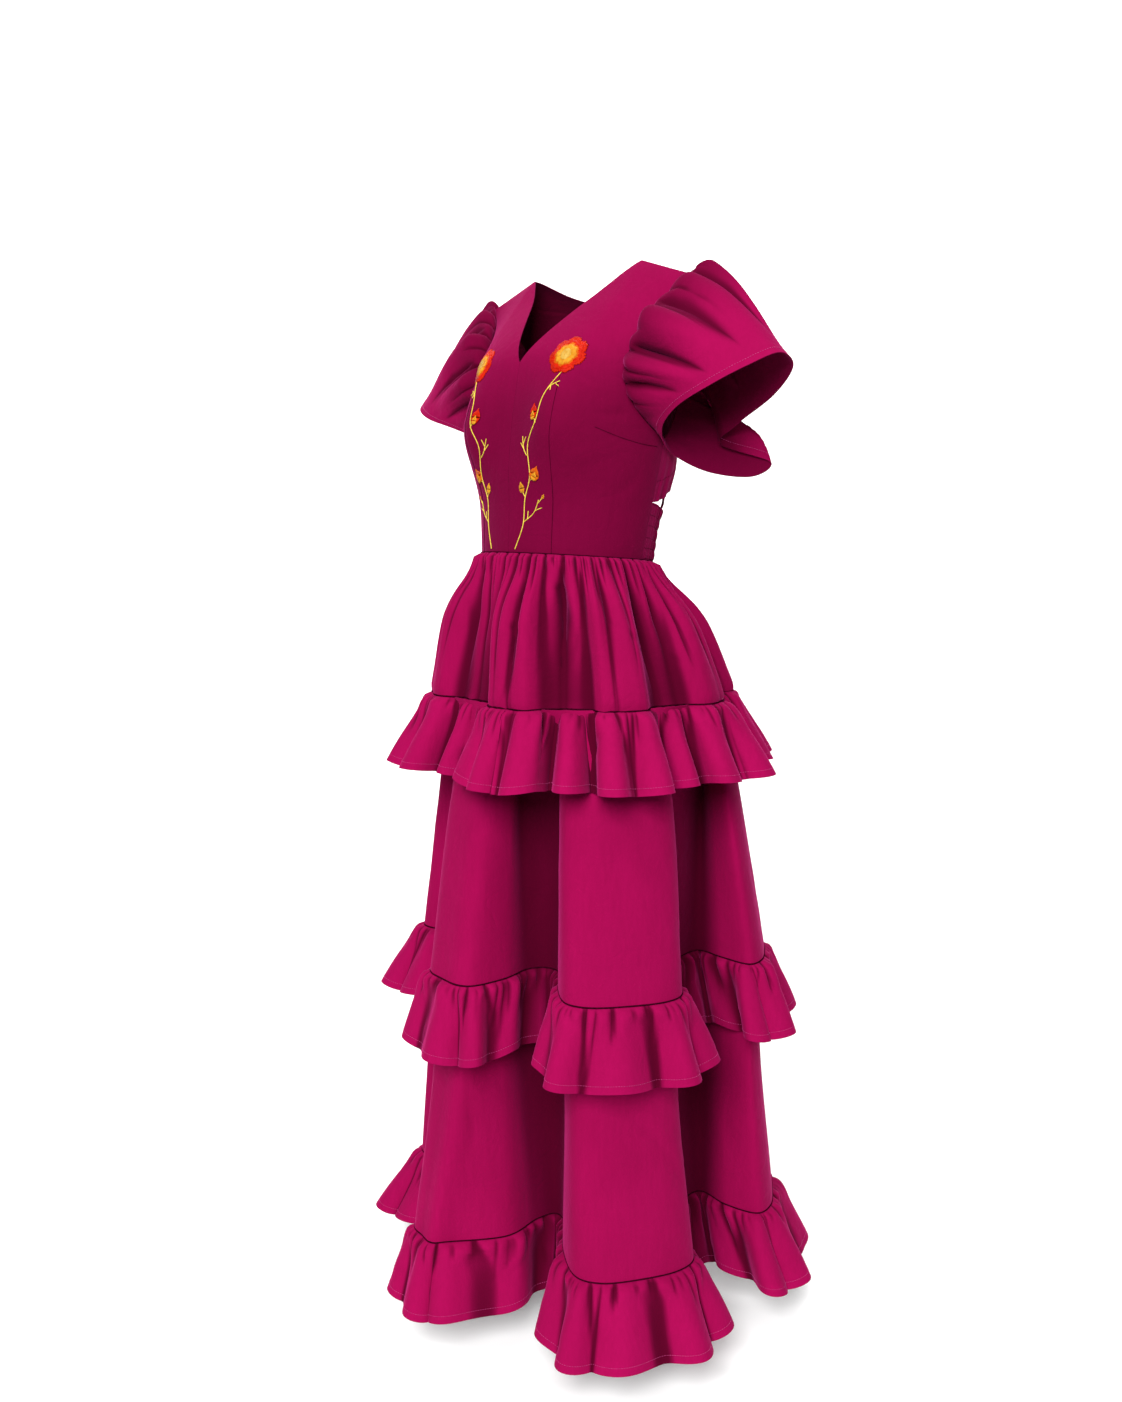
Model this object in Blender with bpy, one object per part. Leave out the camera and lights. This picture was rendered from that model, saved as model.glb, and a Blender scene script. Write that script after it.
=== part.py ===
"""A full-length velvet dress, worn but with nobody in it.

V-neck bodice in two front halves, two upper back halves tied with a cord over an open lower back,
an elasticated back waist panel, two gathered flutter sleeves, and a skirt in three tiers, each
ending in a gathered ruffle. The dress hangs in six deep folds.

Frame: metres, +Z up, the front faces -Y, the wearer's left is +X. The origin is midway between the
two shoulder seams, where a wearer's shoulders hold the dress up.
"""

import math

import bpy
import numpy as np

# Driving sizes
WALL = 0.0016
SEAM_GAP = 0.0003
SHOULDER_DROP = 0.34
NECK_HALF_WIDTH = 0.102
NECK_HEIGHT = 0.015
SHOULDER_HALF_WIDTH = 0.1875
V_DEPTH = -0.116
BACK_NECK_DROP = 0.036
FRONT_SLOPE = 0.13
BACK_ROUND = 0.09
WAIST_FRONT = -0.361
WAIST_DIP = 0.017
UNDERARM = -0.215
SIDE_SEAM = math.radians(97)
BUST_HEIGHT = -0.198
BUST_HALF_SPAN = 0.090
CUP_DEPTH = 0.034
SEAM_1 = -0.558
SEAM_2 = -0.927
SEAM_3 = -1.295
RUFFLE_DROP = 0.098
RUFFLE_FLARE = 0.046
CORD_DIAMETER = 0.0036

VELVET = (0.42, 0.005, 0.13, 1.0)
VELVET_SHADE = (0.36, 0.004, 0.11, 1.0)
CORD_COLOUR = (0.25, 0.004, 0.08, 1.0)

# The torso that the cloth stands off: one row for each height.
TORSO = {
    "height": (0.03, -0.014, -0.05, -0.10, -0.15, -0.20, -0.25, -0.30, -0.38),
    "half_width": (0.190, 0.1885, 0.176, 0.166, 0.157, 0.151, 0.145, 0.138, 0.127),
    "front": (0.078, 0.082, 0.096, 0.112, 0.117, 0.120, 0.121, 0.116, 0.109),
    "back": (0.078, 0.080, 0.088, 0.102, 0.110, 0.111, 0.104, 0.092, 0.101),
    "centre": (0.000, 0.000, -0.002, -0.006, -0.011, -0.016, -0.021, -0.026, -0.036),
}
# The armhole, down from the shoulder: how far round the torso from the front its two edges lie.
ARMHOLE = {
    "height": (-0.014, -0.035, -0.065, -0.10, -0.14, -0.175, -0.20, UNDERARM),
    "front_edge": (89.5, 74, 64, 60, 62, 71, 84, 97),
    "back_edge": (90.5, 103, 112, 115, 113, 108, 102, 97),
}
# The six deep folds of the skirt, round from the front towards the wearer's left, on the rings
# that end the second and third tiers. Azimuths are in degrees: where a fold leaves the trough
# before it and reaches its crest, and the same on its far side. Radii: crest, and trough after.
# Flare: how much further out the ruffle's hem hangs on the fold.
FOLDS_2 = {
    "from_low": (-24, 33, 121, 170, 222, 272),
    "from_mid": (-24, 34.5, 115.5, 168, 220, 271),
    "from_high": (-17, 39, 112, 171, 223, 275),
    "to_high": (7, 76, 140, 196, 250, 301),
    "to_mid": (11, 82, 144, 199, 252, 304),
    "to_low": (12, 83, 142, 197, 249, 302),
    "crest": (0.248, 0.258, 0.260, 0.255, 0.262, 0.258),
    "trough": (0.125, 0.150, 0.143, 0.138, 0.143, 0.140),
    "flare": (0.026, 0.030, 0.034, 0.040, 0.040, 0.046),
}
FOLDS_3 = {
    "from_low": (-25, 34, 121.5, 170, 222, 272),
    "from_mid": (-24, 36.5, 114.5, 168, 220, 271),
    "from_high": (-17, 42, 113, 171, 223, 275),
    "to_high": (-1, 80, 143, 196, 250, 301),
    "to_mid": (12, 84, 146, 199, 252, 304),
    "to_low": (16, 85, 144, 197, 249, 302),
    "crest": (0.276, 0.270, 0.280, 0.270, 0.280, 0.268),
    "trough": (0.112, 0.156, 0.146, 0.138, 0.146, 0.140),
    "flare": (0.026, 0.038, 0.048, 0.044, 0.044, 0.056),
}
# The same folds just under the first ruffle, where they are still shallow.
SHALLOW_CREST = (0.205, 0.213, 0.212, 0.212, 0.216, 0.221)
SHALLOW_TROUGH = (0.146, 0.158, 0.154, 0.150, 0.154, 0.150)
# Ring 1, where the first tier ends: radius every 30 degrees from the front.
HIP_RING = (0.184, 0.195, 0.190, 0.195, 0.194, 0.195, 0.198, 0.202, 0.202, 0.200, 0.204, 0.196)

WAIST_GATHERS = 38
RUFFLE_1_WAVES = 27
DEEP_RUFFLE_WAVES = 46
SLEEVE_GATHERS = 7


def smooth(t):
    """0 to 1 with level ends."""
    t = np.clip(t, 0.0, 1.0)
    return t * t * (3 - 2 * t)


def curve_at(knots, values, at):
    """A smooth curve through a table's values, without overshoot, read at any place."""
    knots, values = np.asarray(knots, float), np.asarray(values, float)
    if knots[0] > knots[-1]:
        knots, values = knots[::-1], values[::-1]
    steps = np.diff(values) / np.diff(knots)
    slopes = np.concatenate([[steps[0]], (steps[1:] + steps[:-1]) / 2, [steps[-1]]])
    flat = np.concatenate([[False], steps[1:] * steps[:-1] <= 0, [False]])
    slopes = np.where(flat, 0.0, slopes)
    at = np.clip(np.asarray(at, float), knots[0], knots[-1])
    i = np.clip(np.searchsorted(knots, at) - 1, 0, len(steps) - 1)
    width = knots[i + 1] - knots[i]
    t = (at - knots[i]) / width
    return (
        values[i] * (1 + 2 * t) * (1 - t) ** 2
        + slopes[i] * width * t * (1 - t) ** 2
        + values[i + 1] * t * t * (3 - 2 * t)
        - slopes[i + 1] * width * t * t * (1 - t)
    )


def closed_curve(points, at):
    """A closed smooth curve through points, read at places counted in points."""
    points = np.asarray(points, float)
    count = len(points)
    at = np.asarray(at, float)
    i = np.floor(at).astype(int)
    t = (at - i)[:, None]
    before, here, after, beyond = (points[(i + k) % count] for k in (-1, 0, 1, 2))
    return 0.5 * (
        2 * here
        + (after - before) * t
        + (2 * before - 5 * here + 4 * after - beyond) * t**2
        + (3 * here - before - 3 * after + beyond) * t**3
    )


def shoulder_line(x):
    """Height of the shoulder seam at a distance from the centre."""
    return NECK_HEIGHT - SHOULDER_DROP * np.maximum(np.abs(x) - NECK_HALF_WIDTH, 0.0)


def waist_height(azimuth):
    return WAIST_FRONT - WAIST_DIP * (1 - np.cos(azimuth)) / 2


def cups(x, z):
    """How far the bust cups push the cloth forward."""
    across = (np.abs(x) - BUST_HALF_SPAN) / 0.050
    above = z > BUST_HEIGHT
    down = (z - BUST_HEIGHT) / np.where(above, 0.075, 0.058)
    return CUP_DEPTH * np.exp(-(across**2) - down**2)


def torso(azimuth, z):
    """Outer face of the cloth round the torso, azimuth from the front towards +X."""
    azimuth, z = np.broadcast_arrays(np.asarray(azimuth, float), np.asarray(z, float))
    width, front, back, centre = (
        curve_at(TORSO["height"], TORSO[column], z)
        for column in ("half_width", "front", "back", "centre")
    )
    x = width * np.sin(azimuth)
    forward = np.cos(azimuth)
    depth = np.where(forward > 0, front, back)
    drop = np.maximum(shoulder_line(x) - z, 0.0)
    sloping = (1 - (1 - np.minimum(drop / FRONT_SLOPE, 1.0)) ** 1.6) ** 0.85
    rounded = np.sqrt(1 - (1 - np.minimum(drop / BACK_ROUND, 1.0)) ** 2)
    rounding = np.where(forward > 0, sloping, rounded)
    y = centre - depth * forward * rounding - cups(x, z) * np.maximum(forward, 0.0) ** 0.5
    return np.stack([x, y, z], -1)


def grid_normals(grid, closed):
    """Outward unit normals of a grid of points, rows going down and columns going round."""
    if closed:
        across = np.roll(grid, -1, 1) - np.roll(grid, 1, 1)
    else:
        across = np.gradient(grid, axis=1)
    down = np.gradient(grid, axis=0)
    normals = np.cross(down, across)
    return normals / np.maximum(np.linalg.norm(normals, axis=-1, keepdims=True), 1e-12)


def wall_from(grid, closed, seams=(), wall=WALL):
    """The cloth's wall: its outer grid, and the same grid moved in by the cloth's thickness.

    Along a seam the wall stands square to the seam's plane, so that two pieces lie side by side.
    """
    normals = grid_normals(grid, closed)
    for rows, columns, plane in seams:
        plane = np.asarray(plane, float)
        edge = normals[rows, columns]
        edge = edge - (edge @ plane)[..., None] * plane
        normals[rows, columns] = edge / np.linalg.norm(edge, axis=-1, keepdims=True)
    return grid, grid - normals * wall


EVERY = slice(None)
LEVEL_WALL = ((EVERY, EVERY, (0, 0, 1)),)


def add_cloth(name, grid, material, closed=False, seams=(), wall=WALL):
    """One piece of cloth as a closed wall over a grid of rows and columns."""
    outer, inner = wall_from(grid, closed, seams, wall)
    rows, columns = grid.shape[:2]
    points = np.concatenate([outer.reshape(-1, 3), inner.reshape(-1, 3)])
    start_of_inner = rows * columns

    def at(row, column, side):
        return side * start_of_inner + row * columns + column % columns

    faces = []
    last = columns if closed else columns - 1
    for row in range(rows - 1):
        for c in range(last):
            faces.append((at(row, c, 0), at(row + 1, c, 0), at(row + 1, c + 1, 0), at(row, c + 1, 0)))
            faces.append((at(row, c, 1), at(row, c + 1, 1), at(row + 1, c + 1, 1), at(row + 1, c, 1)))
    for c in range(last):
        faces.append((at(0, c, 0), at(0, c + 1, 0), at(0, c + 1, 1), at(0, c, 1)))
        bottom = rows - 1
        faces.append((at(bottom, c, 0), at(bottom, c, 1), at(bottom, c + 1, 1), at(bottom, c + 1, 0)))
    if not closed:
        end = columns - 1
        for row in range(rows - 1):
            faces.append((at(row, 0, 0), at(row, 0, 1), at(row + 1, 0, 1), at(row + 1, 0, 0)))
            faces.append((at(row, end, 0), at(row + 1, end, 0), at(row + 1, end, 1), at(row, end, 1)))
    mesh = bpy.data.meshes.new(name)
    mesh.from_pydata(points.tolist(), [], faces)
    mesh.materials.append(material)
    mesh.shade_smooth()
    mesh.set_sharp_from_angle(angle=math.radians(50))
    piece = bpy.data.objects.new(name, mesh)
    bpy.context.scene.collection.objects.link(piece)
    return piece


def cloth_material(name, colour, roughness):
    material = bpy.data.materials.new(name)
    material.use_nodes = True
    shader = material.node_tree.nodes["Principled BSDF"]
    shader.inputs["Base Color"].default_value = colour
    shader.inputs["Roughness"].default_value = roughness
    shader.inputs["Metallic"].default_value = 0.0
    return material


def panel(inner_edge, outer_edge, across, side):
    """A bodice panel between two edges, each with an azimuth and a height for every row.

    Rows near the shoulder follow its slope, and rows near the waist follow the waist seam.
    """
    inner_azimuth, inner_z = inner_edge
    outer_azimuth, outer_z = outer_edge
    share = np.asarray(across)[None, :]
    azimuth = inner_azimuth[:, None] * (1 - share) + outer_azimuth[:, None] * share
    x = curve_at(TORSO["height"], TORSO["half_width"], inner_z[:, None] + 0 * share) * np.sin(azimuth)
    z_level = inner_z[:, None] * (1 - share) + outer_z[:, None] * share
    for _ in range(2):
        x = curve_at(TORSO["height"], TORSO["half_width"], z_level) * np.sin(azimuth)
        slope = shoulder_line(x)
        inner_slope, outer_slope = slope[:, :1], slope[:, -1:]
        follow = inner_z[:, None] - inner_slope + slope
        follow = follow + share * (outer_z[:, None] - inner_z[:, None] - outer_slope + inner_slope)
        near_top = smooth(1 + (inner_z[:, None] - 0.02) / 0.2)
        z_level = near_top * follow + (1 - near_top) * (
            inner_z[:, None] * (1 - share) + outer_z[:, None] * share
        )
    return torso(side * azimuth, z_level)


def neck_edge_azimuth(x, z):
    """Azimuth of a point of the neckline from its distance from the centre."""
    return np.arcsin(np.clip(x / curve_at(TORSO["height"], TORSO["half_width"], z), 0, 1))


def shoulder_drops(steps):
    """Drops below the shoulder seam for the rows over its rounded top."""
    return 0.105 * np.linspace(0.0, 1.0, steps) ** 1.4


def part_shoulders(grid, front):
    """Leave a seam's gap between the front and the back along the shoulder."""
    half = SEAM_GAP / 2
    grid[0, :, 1] = np.minimum(grid[0, :, 1], -half) if front else np.maximum(grid[0, :, 1], half)


def front_edges(shoulder_rows, neck_rows, chest_rows, waist_rows):
    """Inner and outer edges of a front half: neckline and centre seam, armhole and side seam."""
    drops = shoulder_drops(shoulder_rows)
    v_drop = NECK_HEIGHT - V_DEPTH
    lower = np.linspace(drops[-1], v_drop, neck_rows + 1)[1:]
    neck_drops = np.concatenate([drops, lower])
    neck_x = NECK_HALF_WIDTH * (1 - neck_drops / v_drop) + SEAM_GAP / 2
    neck_z = NECK_HEIGHT - neck_drops
    centre_z = np.concatenate([
        np.linspace(V_DEPTH, BUST_HEIGHT + 0.006, chest_rows + 1)[1:],
        np.linspace(BUST_HEIGHT + 0.006, WAIST_FRONT, waist_rows + 1)[1:],
    ])
    inner_z = np.concatenate([neck_z, centre_z])
    inner_x = np.concatenate([neck_x, np.full(len(centre_z), SEAM_GAP / 2)])
    inner = neck_edge_azimuth(inner_x, inner_z)
    tip_z = shoulder_line(SHOULDER_HALF_WIDTH)
    arm_drops = drops * 1.05
    outer_z = np.concatenate([
        tip_z - arm_drops,
        np.linspace(tip_z - arm_drops[-1], -0.145, neck_rows + 1)[1:],
        np.linspace(-0.145, UNDERARM, chest_rows + 1)[1:],
        np.linspace(UNDERARM, waist_height(SIDE_SEAM), waist_rows + 1)[1:],
    ])
    outer = np.where(
        outer_z > UNDERARM,
        np.radians(curve_at(ARMHOLE["height"], ARMHOLE["front_edge"], outer_z)),
        SIDE_SEAM - SEAM_GAP / 2 / 0.14,
    )
    return (inner, inner_z), (outer, outer_z)


def front_half(side, columns=10, rows=(5, 3, 4, 6)):
    inner, outer = front_edges(*rows)
    share = np.linspace(0, 1, columns)
    grid = panel(inner, outer, share, side)
    azimuth = inner[0][:, None] * (1 - share) + outer[0][:, None] * share
    level = smooth((inner[1][:, None] + 0.24) / (WAIST_FRONT + 0.24))
    chord = WAIST_FRONT * (1 - share) + outer[1][-1] * share
    grid[..., 2] += level * (waist_height(azimuth) - chord)
    part_shoulders(grid, front=True)
    return grid if side > 0 else grid[:, ::-1]


def seam_planes(side):
    """Directions square to the shoulder seam, the centre seam and a side seam."""
    ends = torso(side * (SIDE_SEAM + np.array([-0.05, 0.05])), -0.28)
    across_side = ends[1] - ends[0]
    return (0, 1, 0), (1, 0, 0), across_side / np.linalg.norm(across_side)


def front_seams(side):
    shoulder, centre, at_side = seam_planes(side)
    inner, outer = (0, -1) if side > 0 else (-1, 0)
    return (EVERY, inner, centre), (slice(-7, None), outer, at_side), (0, EVERY, shoulder)


def back_seams(side):
    shoulder, centre, at_side = seam_planes(side)
    outer, inner = (0, -1) if side > 0 else (-1, 0)
    return (EVERY, inner, centre), (slice(-4, None), outer, at_side), (0, EVERY, shoulder)


def waist_panel_seams():
    return (EVERY, 0, seam_planes(1)[2]), (EVERY, -1, seam_planes(-1)[2])


def back_lower_edge(azimuth):
    """Height of the upper back's lower edge: low at the side seam, high at the tie."""
    share = smooth((azimuth - SIDE_SEAM) / (math.pi - SIDE_SEAM))
    return -0.296 + 0.058 * share


def upper_back_face(azimuth, z):
    """Outer face of the upper back, which stands off the torso above its free lower edge."""
    face = torso(azimuth, z)
    stand_off = 0.010 * smooth((azimuth - SIDE_SEAM) / 0.6) * smooth((-0.17 - face[..., 2]) / 0.09)
    face[..., 0] += stand_off * np.sin(azimuth)
    face[..., 1] -= stand_off * np.cos(azimuth)
    return face


def upper_back_half(side, columns=8, rows=(5, 4, 3)):
    """Upper back, from the shoulder seam to the open lower back, in a half on each side."""
    shoulder_rows, arm_rows, side_rows = rows
    drops = shoulder_drops(shoulder_rows)
    tip_z = shoulder_line(SHOULDER_HALF_WIDTH)
    neck_share = np.clip(drops / BACK_NECK_DROP, 0, 1)
    slit = 0.0012
    neck_x = np.maximum(NECK_HALF_WIDTH * np.sqrt(1 - neck_share**1.3), slit)
    neck_z = NECK_HEIGHT - np.minimum(drops, BACK_NECK_DROP + (drops - BACK_NECK_DROP) * 0.8)
    bottom = back_lower_edge(math.pi)
    inner_z = np.concatenate([
        neck_z,
        np.linspace(neck_z[-1], -0.150, arm_rows + 1)[1:],
        np.linspace(-0.150, bottom, side_rows + 1)[1:],
    ])
    slit_x = slit + 0.0030 * smooth((inner_z + 0.10) / (bottom + 0.10))
    inner_x = np.concatenate([neck_x, slit_x[shoulder_rows:]])
    inner = math.pi - neck_edge_azimuth(inner_x, inner_z)
    outer_z = np.concatenate([
        tip_z - drops * 1.05,
        np.linspace(tip_z - drops[-1] * 1.05, UNDERARM, arm_rows + 1)[1:],
        np.linspace(UNDERARM, -0.296, side_rows + 1)[1:],
    ])
    outer = np.where(
        outer_z > UNDERARM,
        np.radians(curve_at(ARMHOLE["height"], ARMHOLE["back_edge"], outer_z)),
        SIDE_SEAM + SEAM_GAP / 2 / 0.14,
    )
    share = np.linspace(0, 1, columns)
    azimuth = inner[:, None] * (1 - share) + outer[:, None] * share
    grid = panel((inner, inner_z), (outer, outer_z), share, side)
    edge = smooth((inner_z[:, None] + 0.15) / (bottom + 0.15))
    chord = bottom * (1 - share) - 0.296 * share
    grid[..., 2] += edge * (back_lower_edge(azimuth) - chord)
    grid = upper_back_face(azimuth, grid[..., 2]) * (side, 1, 1)
    part_shoulders(grid, front=False)
    return grid[:, ::-1] if side > 0 else grid


def back_waist_panel(columns=45, rows=4, gathers=11, depth=0.0024):
    """Elasticated panel across the lower back, gathered, between the side seams."""
    edge = SIDE_SEAM + SEAM_GAP / 2 / 0.14
    azimuth = np.linspace(edge, 2 * math.pi - edge, columns)[None, :]
    down = np.linspace(0, 1, rows)[:, None]
    middle = smooth((azimuth - SIDE_SEAM) / 0.5) * smooth((2 * math.pi - SIDE_SEAM - azimuth) / 0.5)
    top = -0.2965 - 0.010 * middle
    z = top * (1 - down) + waist_height(azimuth) * down
    grid = torso(azimuth, z)
    ripple = depth * middle * (0.5 + 0.5 * np.cos(azimuth * 2 * math.pi * gathers / np.ptp(azimuth)))
    ripple = ripple * (1 - 0.5 * down) + 0.004 * (1 - down) ** 6 * middle
    grid[..., 0] += ripple * np.sin(azimuth)
    grid[..., 1] -= ripple * np.cos(azimuth)
    return grid


def fold_ring(folds, hem=False, crests=None, troughs=None):
    """Control points of a ring through the skirt's six deep folds, in plan.

    A ruffle's hem is the same ring, grown outwards and with its folds widened.
    """
    crests, troughs = crests or folds["crest"], troughs or folds["trough"]
    widen = 3.8 if hem else 0.0
    if hem:
        crests = [crest + flare for crest, flare in zip(crests, folds["flare"])]
        troughs = [trough + 0.02 for trough in troughs]
    points = []
    for k, crest in enumerate(crests):
        before, after = troughs[k - 1], troughs[k]
        start, end = folds["from_high"][k] - widen, folds["to_high"][k] + widen
        following = folds["from_low"][(k + 1) % len(crests)] + (360 if k == len(crests) - 1 else 0)
        for azimuth, share, low in (
            (folds["from_low"][k] - widen, 0.15, before),
            (folds["from_mid"][k] - widen, 0.5, before),
            (start, 0.88, before),
            (start + 0.2 * (end - start), 1.0, before),
            ((start + end) / 2, 1.0, before),
            (end - 0.2 * (end - start), 1.0, after),
            (end, 0.88, after),
            (folds["to_mid"][k] + widen, 0.5, after),
            (folds["to_low"][k] + widen, 0.15, after),
            ((folds["to_low"][k] + following) / 2, 0.0, after),
        ):
            points.append(polar(azimuth, low + (crest - low) * share))
    return np.array(points)


def polar(azimuth, radius):
    """Plan point at an azimuth in degrees from the front."""
    turn = math.radians(azimuth)
    return radius * math.sin(turn), -radius * math.cos(turn)


def even_places(points, count, corner_pull=0.0):
    """Places along a closed curve, equally far apart, or closer together where it bends."""
    fine = np.linspace(0, len(points), 2400, endpoint=False)
    line = closed_curve(points, fine)
    ahead = np.roll(line, -1, 0) - line
    steps = np.linalg.norm(ahead, axis=1)
    heading = ahead / steps[:, None]
    bend = np.linalg.norm(np.roll(heading, -1, 0) - heading, axis=1)
    window = np.hanning(61)
    bend = np.convolve(np.tile(bend, 3), window / window.sum(), "same")[2400:4800]
    length = np.concatenate([[0], np.cumsum(steps + corner_pull * bend)])
    wanted = np.linspace(0, length[-1], count, endpoint=False)
    return np.interp(wanted, length, np.append(fine, len(points)))


def plan_normals(ring):
    """Outward normals of a closed ring in plan."""
    along = np.roll(ring, -1, 0) - np.roll(ring, 1, 0)
    normals = np.stack([along[:, 1], -along[:, 0]], 1)
    return normals / np.linalg.norm(normals, axis=1, keepdims=True)


def hip_ring(turns):
    """Ring 1 in plan at shares of a turn from the front."""
    knots = np.arange(-1, 14) / 12
    radii = np.array([HIP_RING[k % 12] for k in range(-1, 14)])
    radius = curve_at(knots, radii, turns % 1.0)
    angle = 2 * math.pi * turns
    return np.stack([radius * np.sin(angle), -radius * np.cos(angle)], 1)


def fold_places(count, corner_pull=0.0):
    """Places spaced along the second ring, and each one's share of a turn on the first.

    Both start at the side of the front fold.
    """
    ring = fold_ring(FOLDS_2)
    line = closed_curve(ring, np.linspace(0, len(ring), 2400, endpoint=False))
    length = np.cumsum(np.linalg.norm(np.roll(line, -1, 0) - line, axis=1))
    places = even_places(ring, count, corner_pull)
    shares = np.interp(places, np.linspace(0, len(ring), 2400, endpoint=False), length / length[-1])
    return places, shares - 0.072


def tier_1(columns, rows=4):
    """First skirt tier: gathered at the waist, spreading to ring 1."""
    turns = np.arange(columns) / columns
    azimuth = 2 * math.pi * turns
    waist = torso(azimuth, waist_height(azimuth))
    hip = hip_ring(turns)
    normals = plan_normals(waist[:, :2])
    grid = np.zeros((rows, columns, 3))
    for row, down in enumerate(np.linspace(0, 1, rows) ** 1.1):
        spread = 1 - (1 - down) ** 1.25
        pinch = 0.0024 + 0.0050 * smooth(down / 0.35) * (1 - smooth((down - 0.35) / 0.65))
        fine = pinch * np.cos(WAIST_GATHERS * azimuth)
        broad = 0.008 * smooth(down / 0.5) * (1 - down) * np.cos(WAIST_GATHERS / 2 * azimuth)
        plan = waist[:, :2] * (1 - spread) + hip * spread
        plan = plan + normals * ((fine + 0.0024) * (1 - smooth((down - 0.8) / 0.2)) + broad)[:, None]
        top = waist[:, 2] - SEAM_GAP
        grid[row] = np.column_stack([plan, top * (1 - down) + SEAM_1 * down])
    return grid


def hanging(stations, rows):
    """A long plain tier hanging through plan rings, given as heights and rings from the top."""
    grid = []
    for (top, upper), (bottom, lower), steps in zip(stations, stations[1:], rows):
        for share in np.arange(steps) / steps:
            plan = upper * (1 - share) + lower * share
            z = top * (1 - share) + bottom * share
            grid.append(np.column_stack([plan, np.full(len(plan), z)]))
    grid.append(np.column_stack([stations[-1][1], np.full(len(stations[-1][1]), stations[-1][0])]))
    return np.array(grid)


def with_midpoints(ring):
    """A ring with a point half way between each two, so that a seam's two edges match."""
    middles = (ring + np.roll(ring, -1, 0)) / 2
    return np.stack([ring, middles], 1).reshape(-1, 2)


def inset(ring, distance):
    """A plan ring moved inwards, with each of its edges kept at one distance from the old one."""
    edges = np.roll(ring, -1, 0) - ring
    edges /= np.linalg.norm(edges, axis=1, keepdims=True)
    square = np.stack([edges[:, 1], -edges[:, 0]], 1)
    corner = square + np.roll(square, 1, 0)
    corner /= np.linalg.norm(corner, axis=1, keepdims=True)
    reach = np.minimum(1 / (corner * square).sum(1), 1.3)
    return ring - corner * (distance * reach)[:, None]


def ruffle(seam, hem, top, drop, waves, depth, downs):
    """A gathered ruffle from its seam ring to its flared hem ring."""
    count = len(seam)
    turns = np.arange(count) / count
    wave = np.cos(2 * math.pi * waves * turns)
    room = 0.45 + 0.55 * smooth((np.linalg.norm(hem, axis=1) - 0.17) / 0.07)
    sway = 0.35 * np.cos(2 * math.pi * 7 * turns + 1.0) + 0.25 * np.cos(2 * math.pi * 11 * turns)
    rows = []
    for down in downs:
        plan = seam * (1 - down) + hem * down
        swell = 0.0010 * (1 - down) * down * 4 * (1 + wave)
        swell = swell + depth * room * down**0.8 * (wave * (1 + 0.4 * sway) + 0.25)
        plan = plan + plan_normals(plan) * swell[:, None]
        z = top - drop * down * (1 - 0.035 * (wave + sway))
        rows.append(np.column_stack([plan, z]))
    return np.array(rows)


def sleeve_cap(split=2):
    """The armhole edge from the underarm, up the front, over the shoulder and down the back."""
    front_edge = front_half(1)[:12, -1]
    back_edge = upper_back_half(1)[:9, 0]
    edge = np.concatenate([front_edge[::-1], back_edge])
    places = np.arange(0, len(edge) - 0.999, 1 / split)
    line = np.stack([np.interp(places, np.arange(len(edge)), edge[:, k]) for k in range(3)], 1)
    length = np.concatenate([[0], np.cumsum(np.linalg.norm(np.diff(line, axis=0), axis=1))])
    return line, length / (length[-1] + 0.004)


# Hem of the wearer's left sleeve, from the underarm up the front and down the back.
SLEEVE_HEM = {
    "x": (0.153, 0.172, 0.215, 0.268, 0.308, 0.328, 0.322, 0.278, 0.222, 0.212, 0.226, 0.206, 0.172),
    "y": (0.004, -0.036, -0.058, -0.058, -0.040, -0.004, 0.030, 0.052, 0.066, 0.088, 0.114, 0.106, 0.055),
    "z": (
        -0.232, -0.205, -0.181, -0.159, -0.139, -0.123, -0.136, -0.165, -0.200, -0.222, -0.243, -0.262,
        -0.256,
    ),
    "round": (0.0, 0.07, 0.16, 0.27, 0.37, 0.46, 0.54, 0.64, 0.74, 0.79, 0.85, 0.90, 0.95),
}


def sleeve_hem(around, spread=1.0, lower=0.0):
    """The sleeve's open hem as a closed curve, read at shares of the way round it."""
    table = np.column_stack([SLEEVE_HEM["x"], SLEEVE_HEM["y"], SLEEVE_HEM["z"]])
    knots = np.array(SLEEVE_HEM["round"])
    places = np.interp(around, np.append(knots, 1.0), np.arange(len(knots) + 1))
    hem = closed_curve(table, places)
    hem[:, 2] -= lower * smooth((hem[:, 0] - 0.16) / 0.15)
    hem[:, 0] += (spread - 1.0) * (hem[:, 0] - 0.153)
    return hem


def sleeve(side, rows=6, spread=1.0, lower=0.0):
    """A flutter sleeve: gathered over the shoulder, puffed, and flared to an open hem."""
    cap, around = sleeve_cap()
    centre = cap.mean(0)
    cap_start = cap + (SEAM_GAP + 0.0003, 0.0, 0.0)
    hem = sleeve_hem(around, spread, lower)
    over_top = smooth((around - 0.10) / 0.25) * smooth((0.95 - around) / 0.30)
    away = cap - centre
    away[:, 0] = 0.0
    away /= np.linalg.norm(away, axis=1, keepdims=True)
    gather = np.cos(2 * math.pi * SLEEVE_GATHERS * around * 1.6)
    grid = []
    for down in np.linspace(0, 1, rows):
        puff = 0.029 * np.sin(math.pi * down**0.6) ** 1.1 * (1 - down) ** 0.3
        ripple = 0.0050 * np.sin(math.pi * down**0.5) * (1 - down) * gather
        row = cap_start * (1 - down) + hem * down
        lift = over_top * (puff * (0.30 + 0.70 * np.clip(away[:, 2], 0, 1)) + ripple)
        row = row + away * lift[:, None]
        row[:, 0] += 0.008 * over_top * np.sin(math.pi * down)
        grid.append(row)
    grid = np.array(grid)[:, ::-1]
    if side < 0:
        grid = grid[:, ::-1] * (-1, 1, 1)
    return grid


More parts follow.
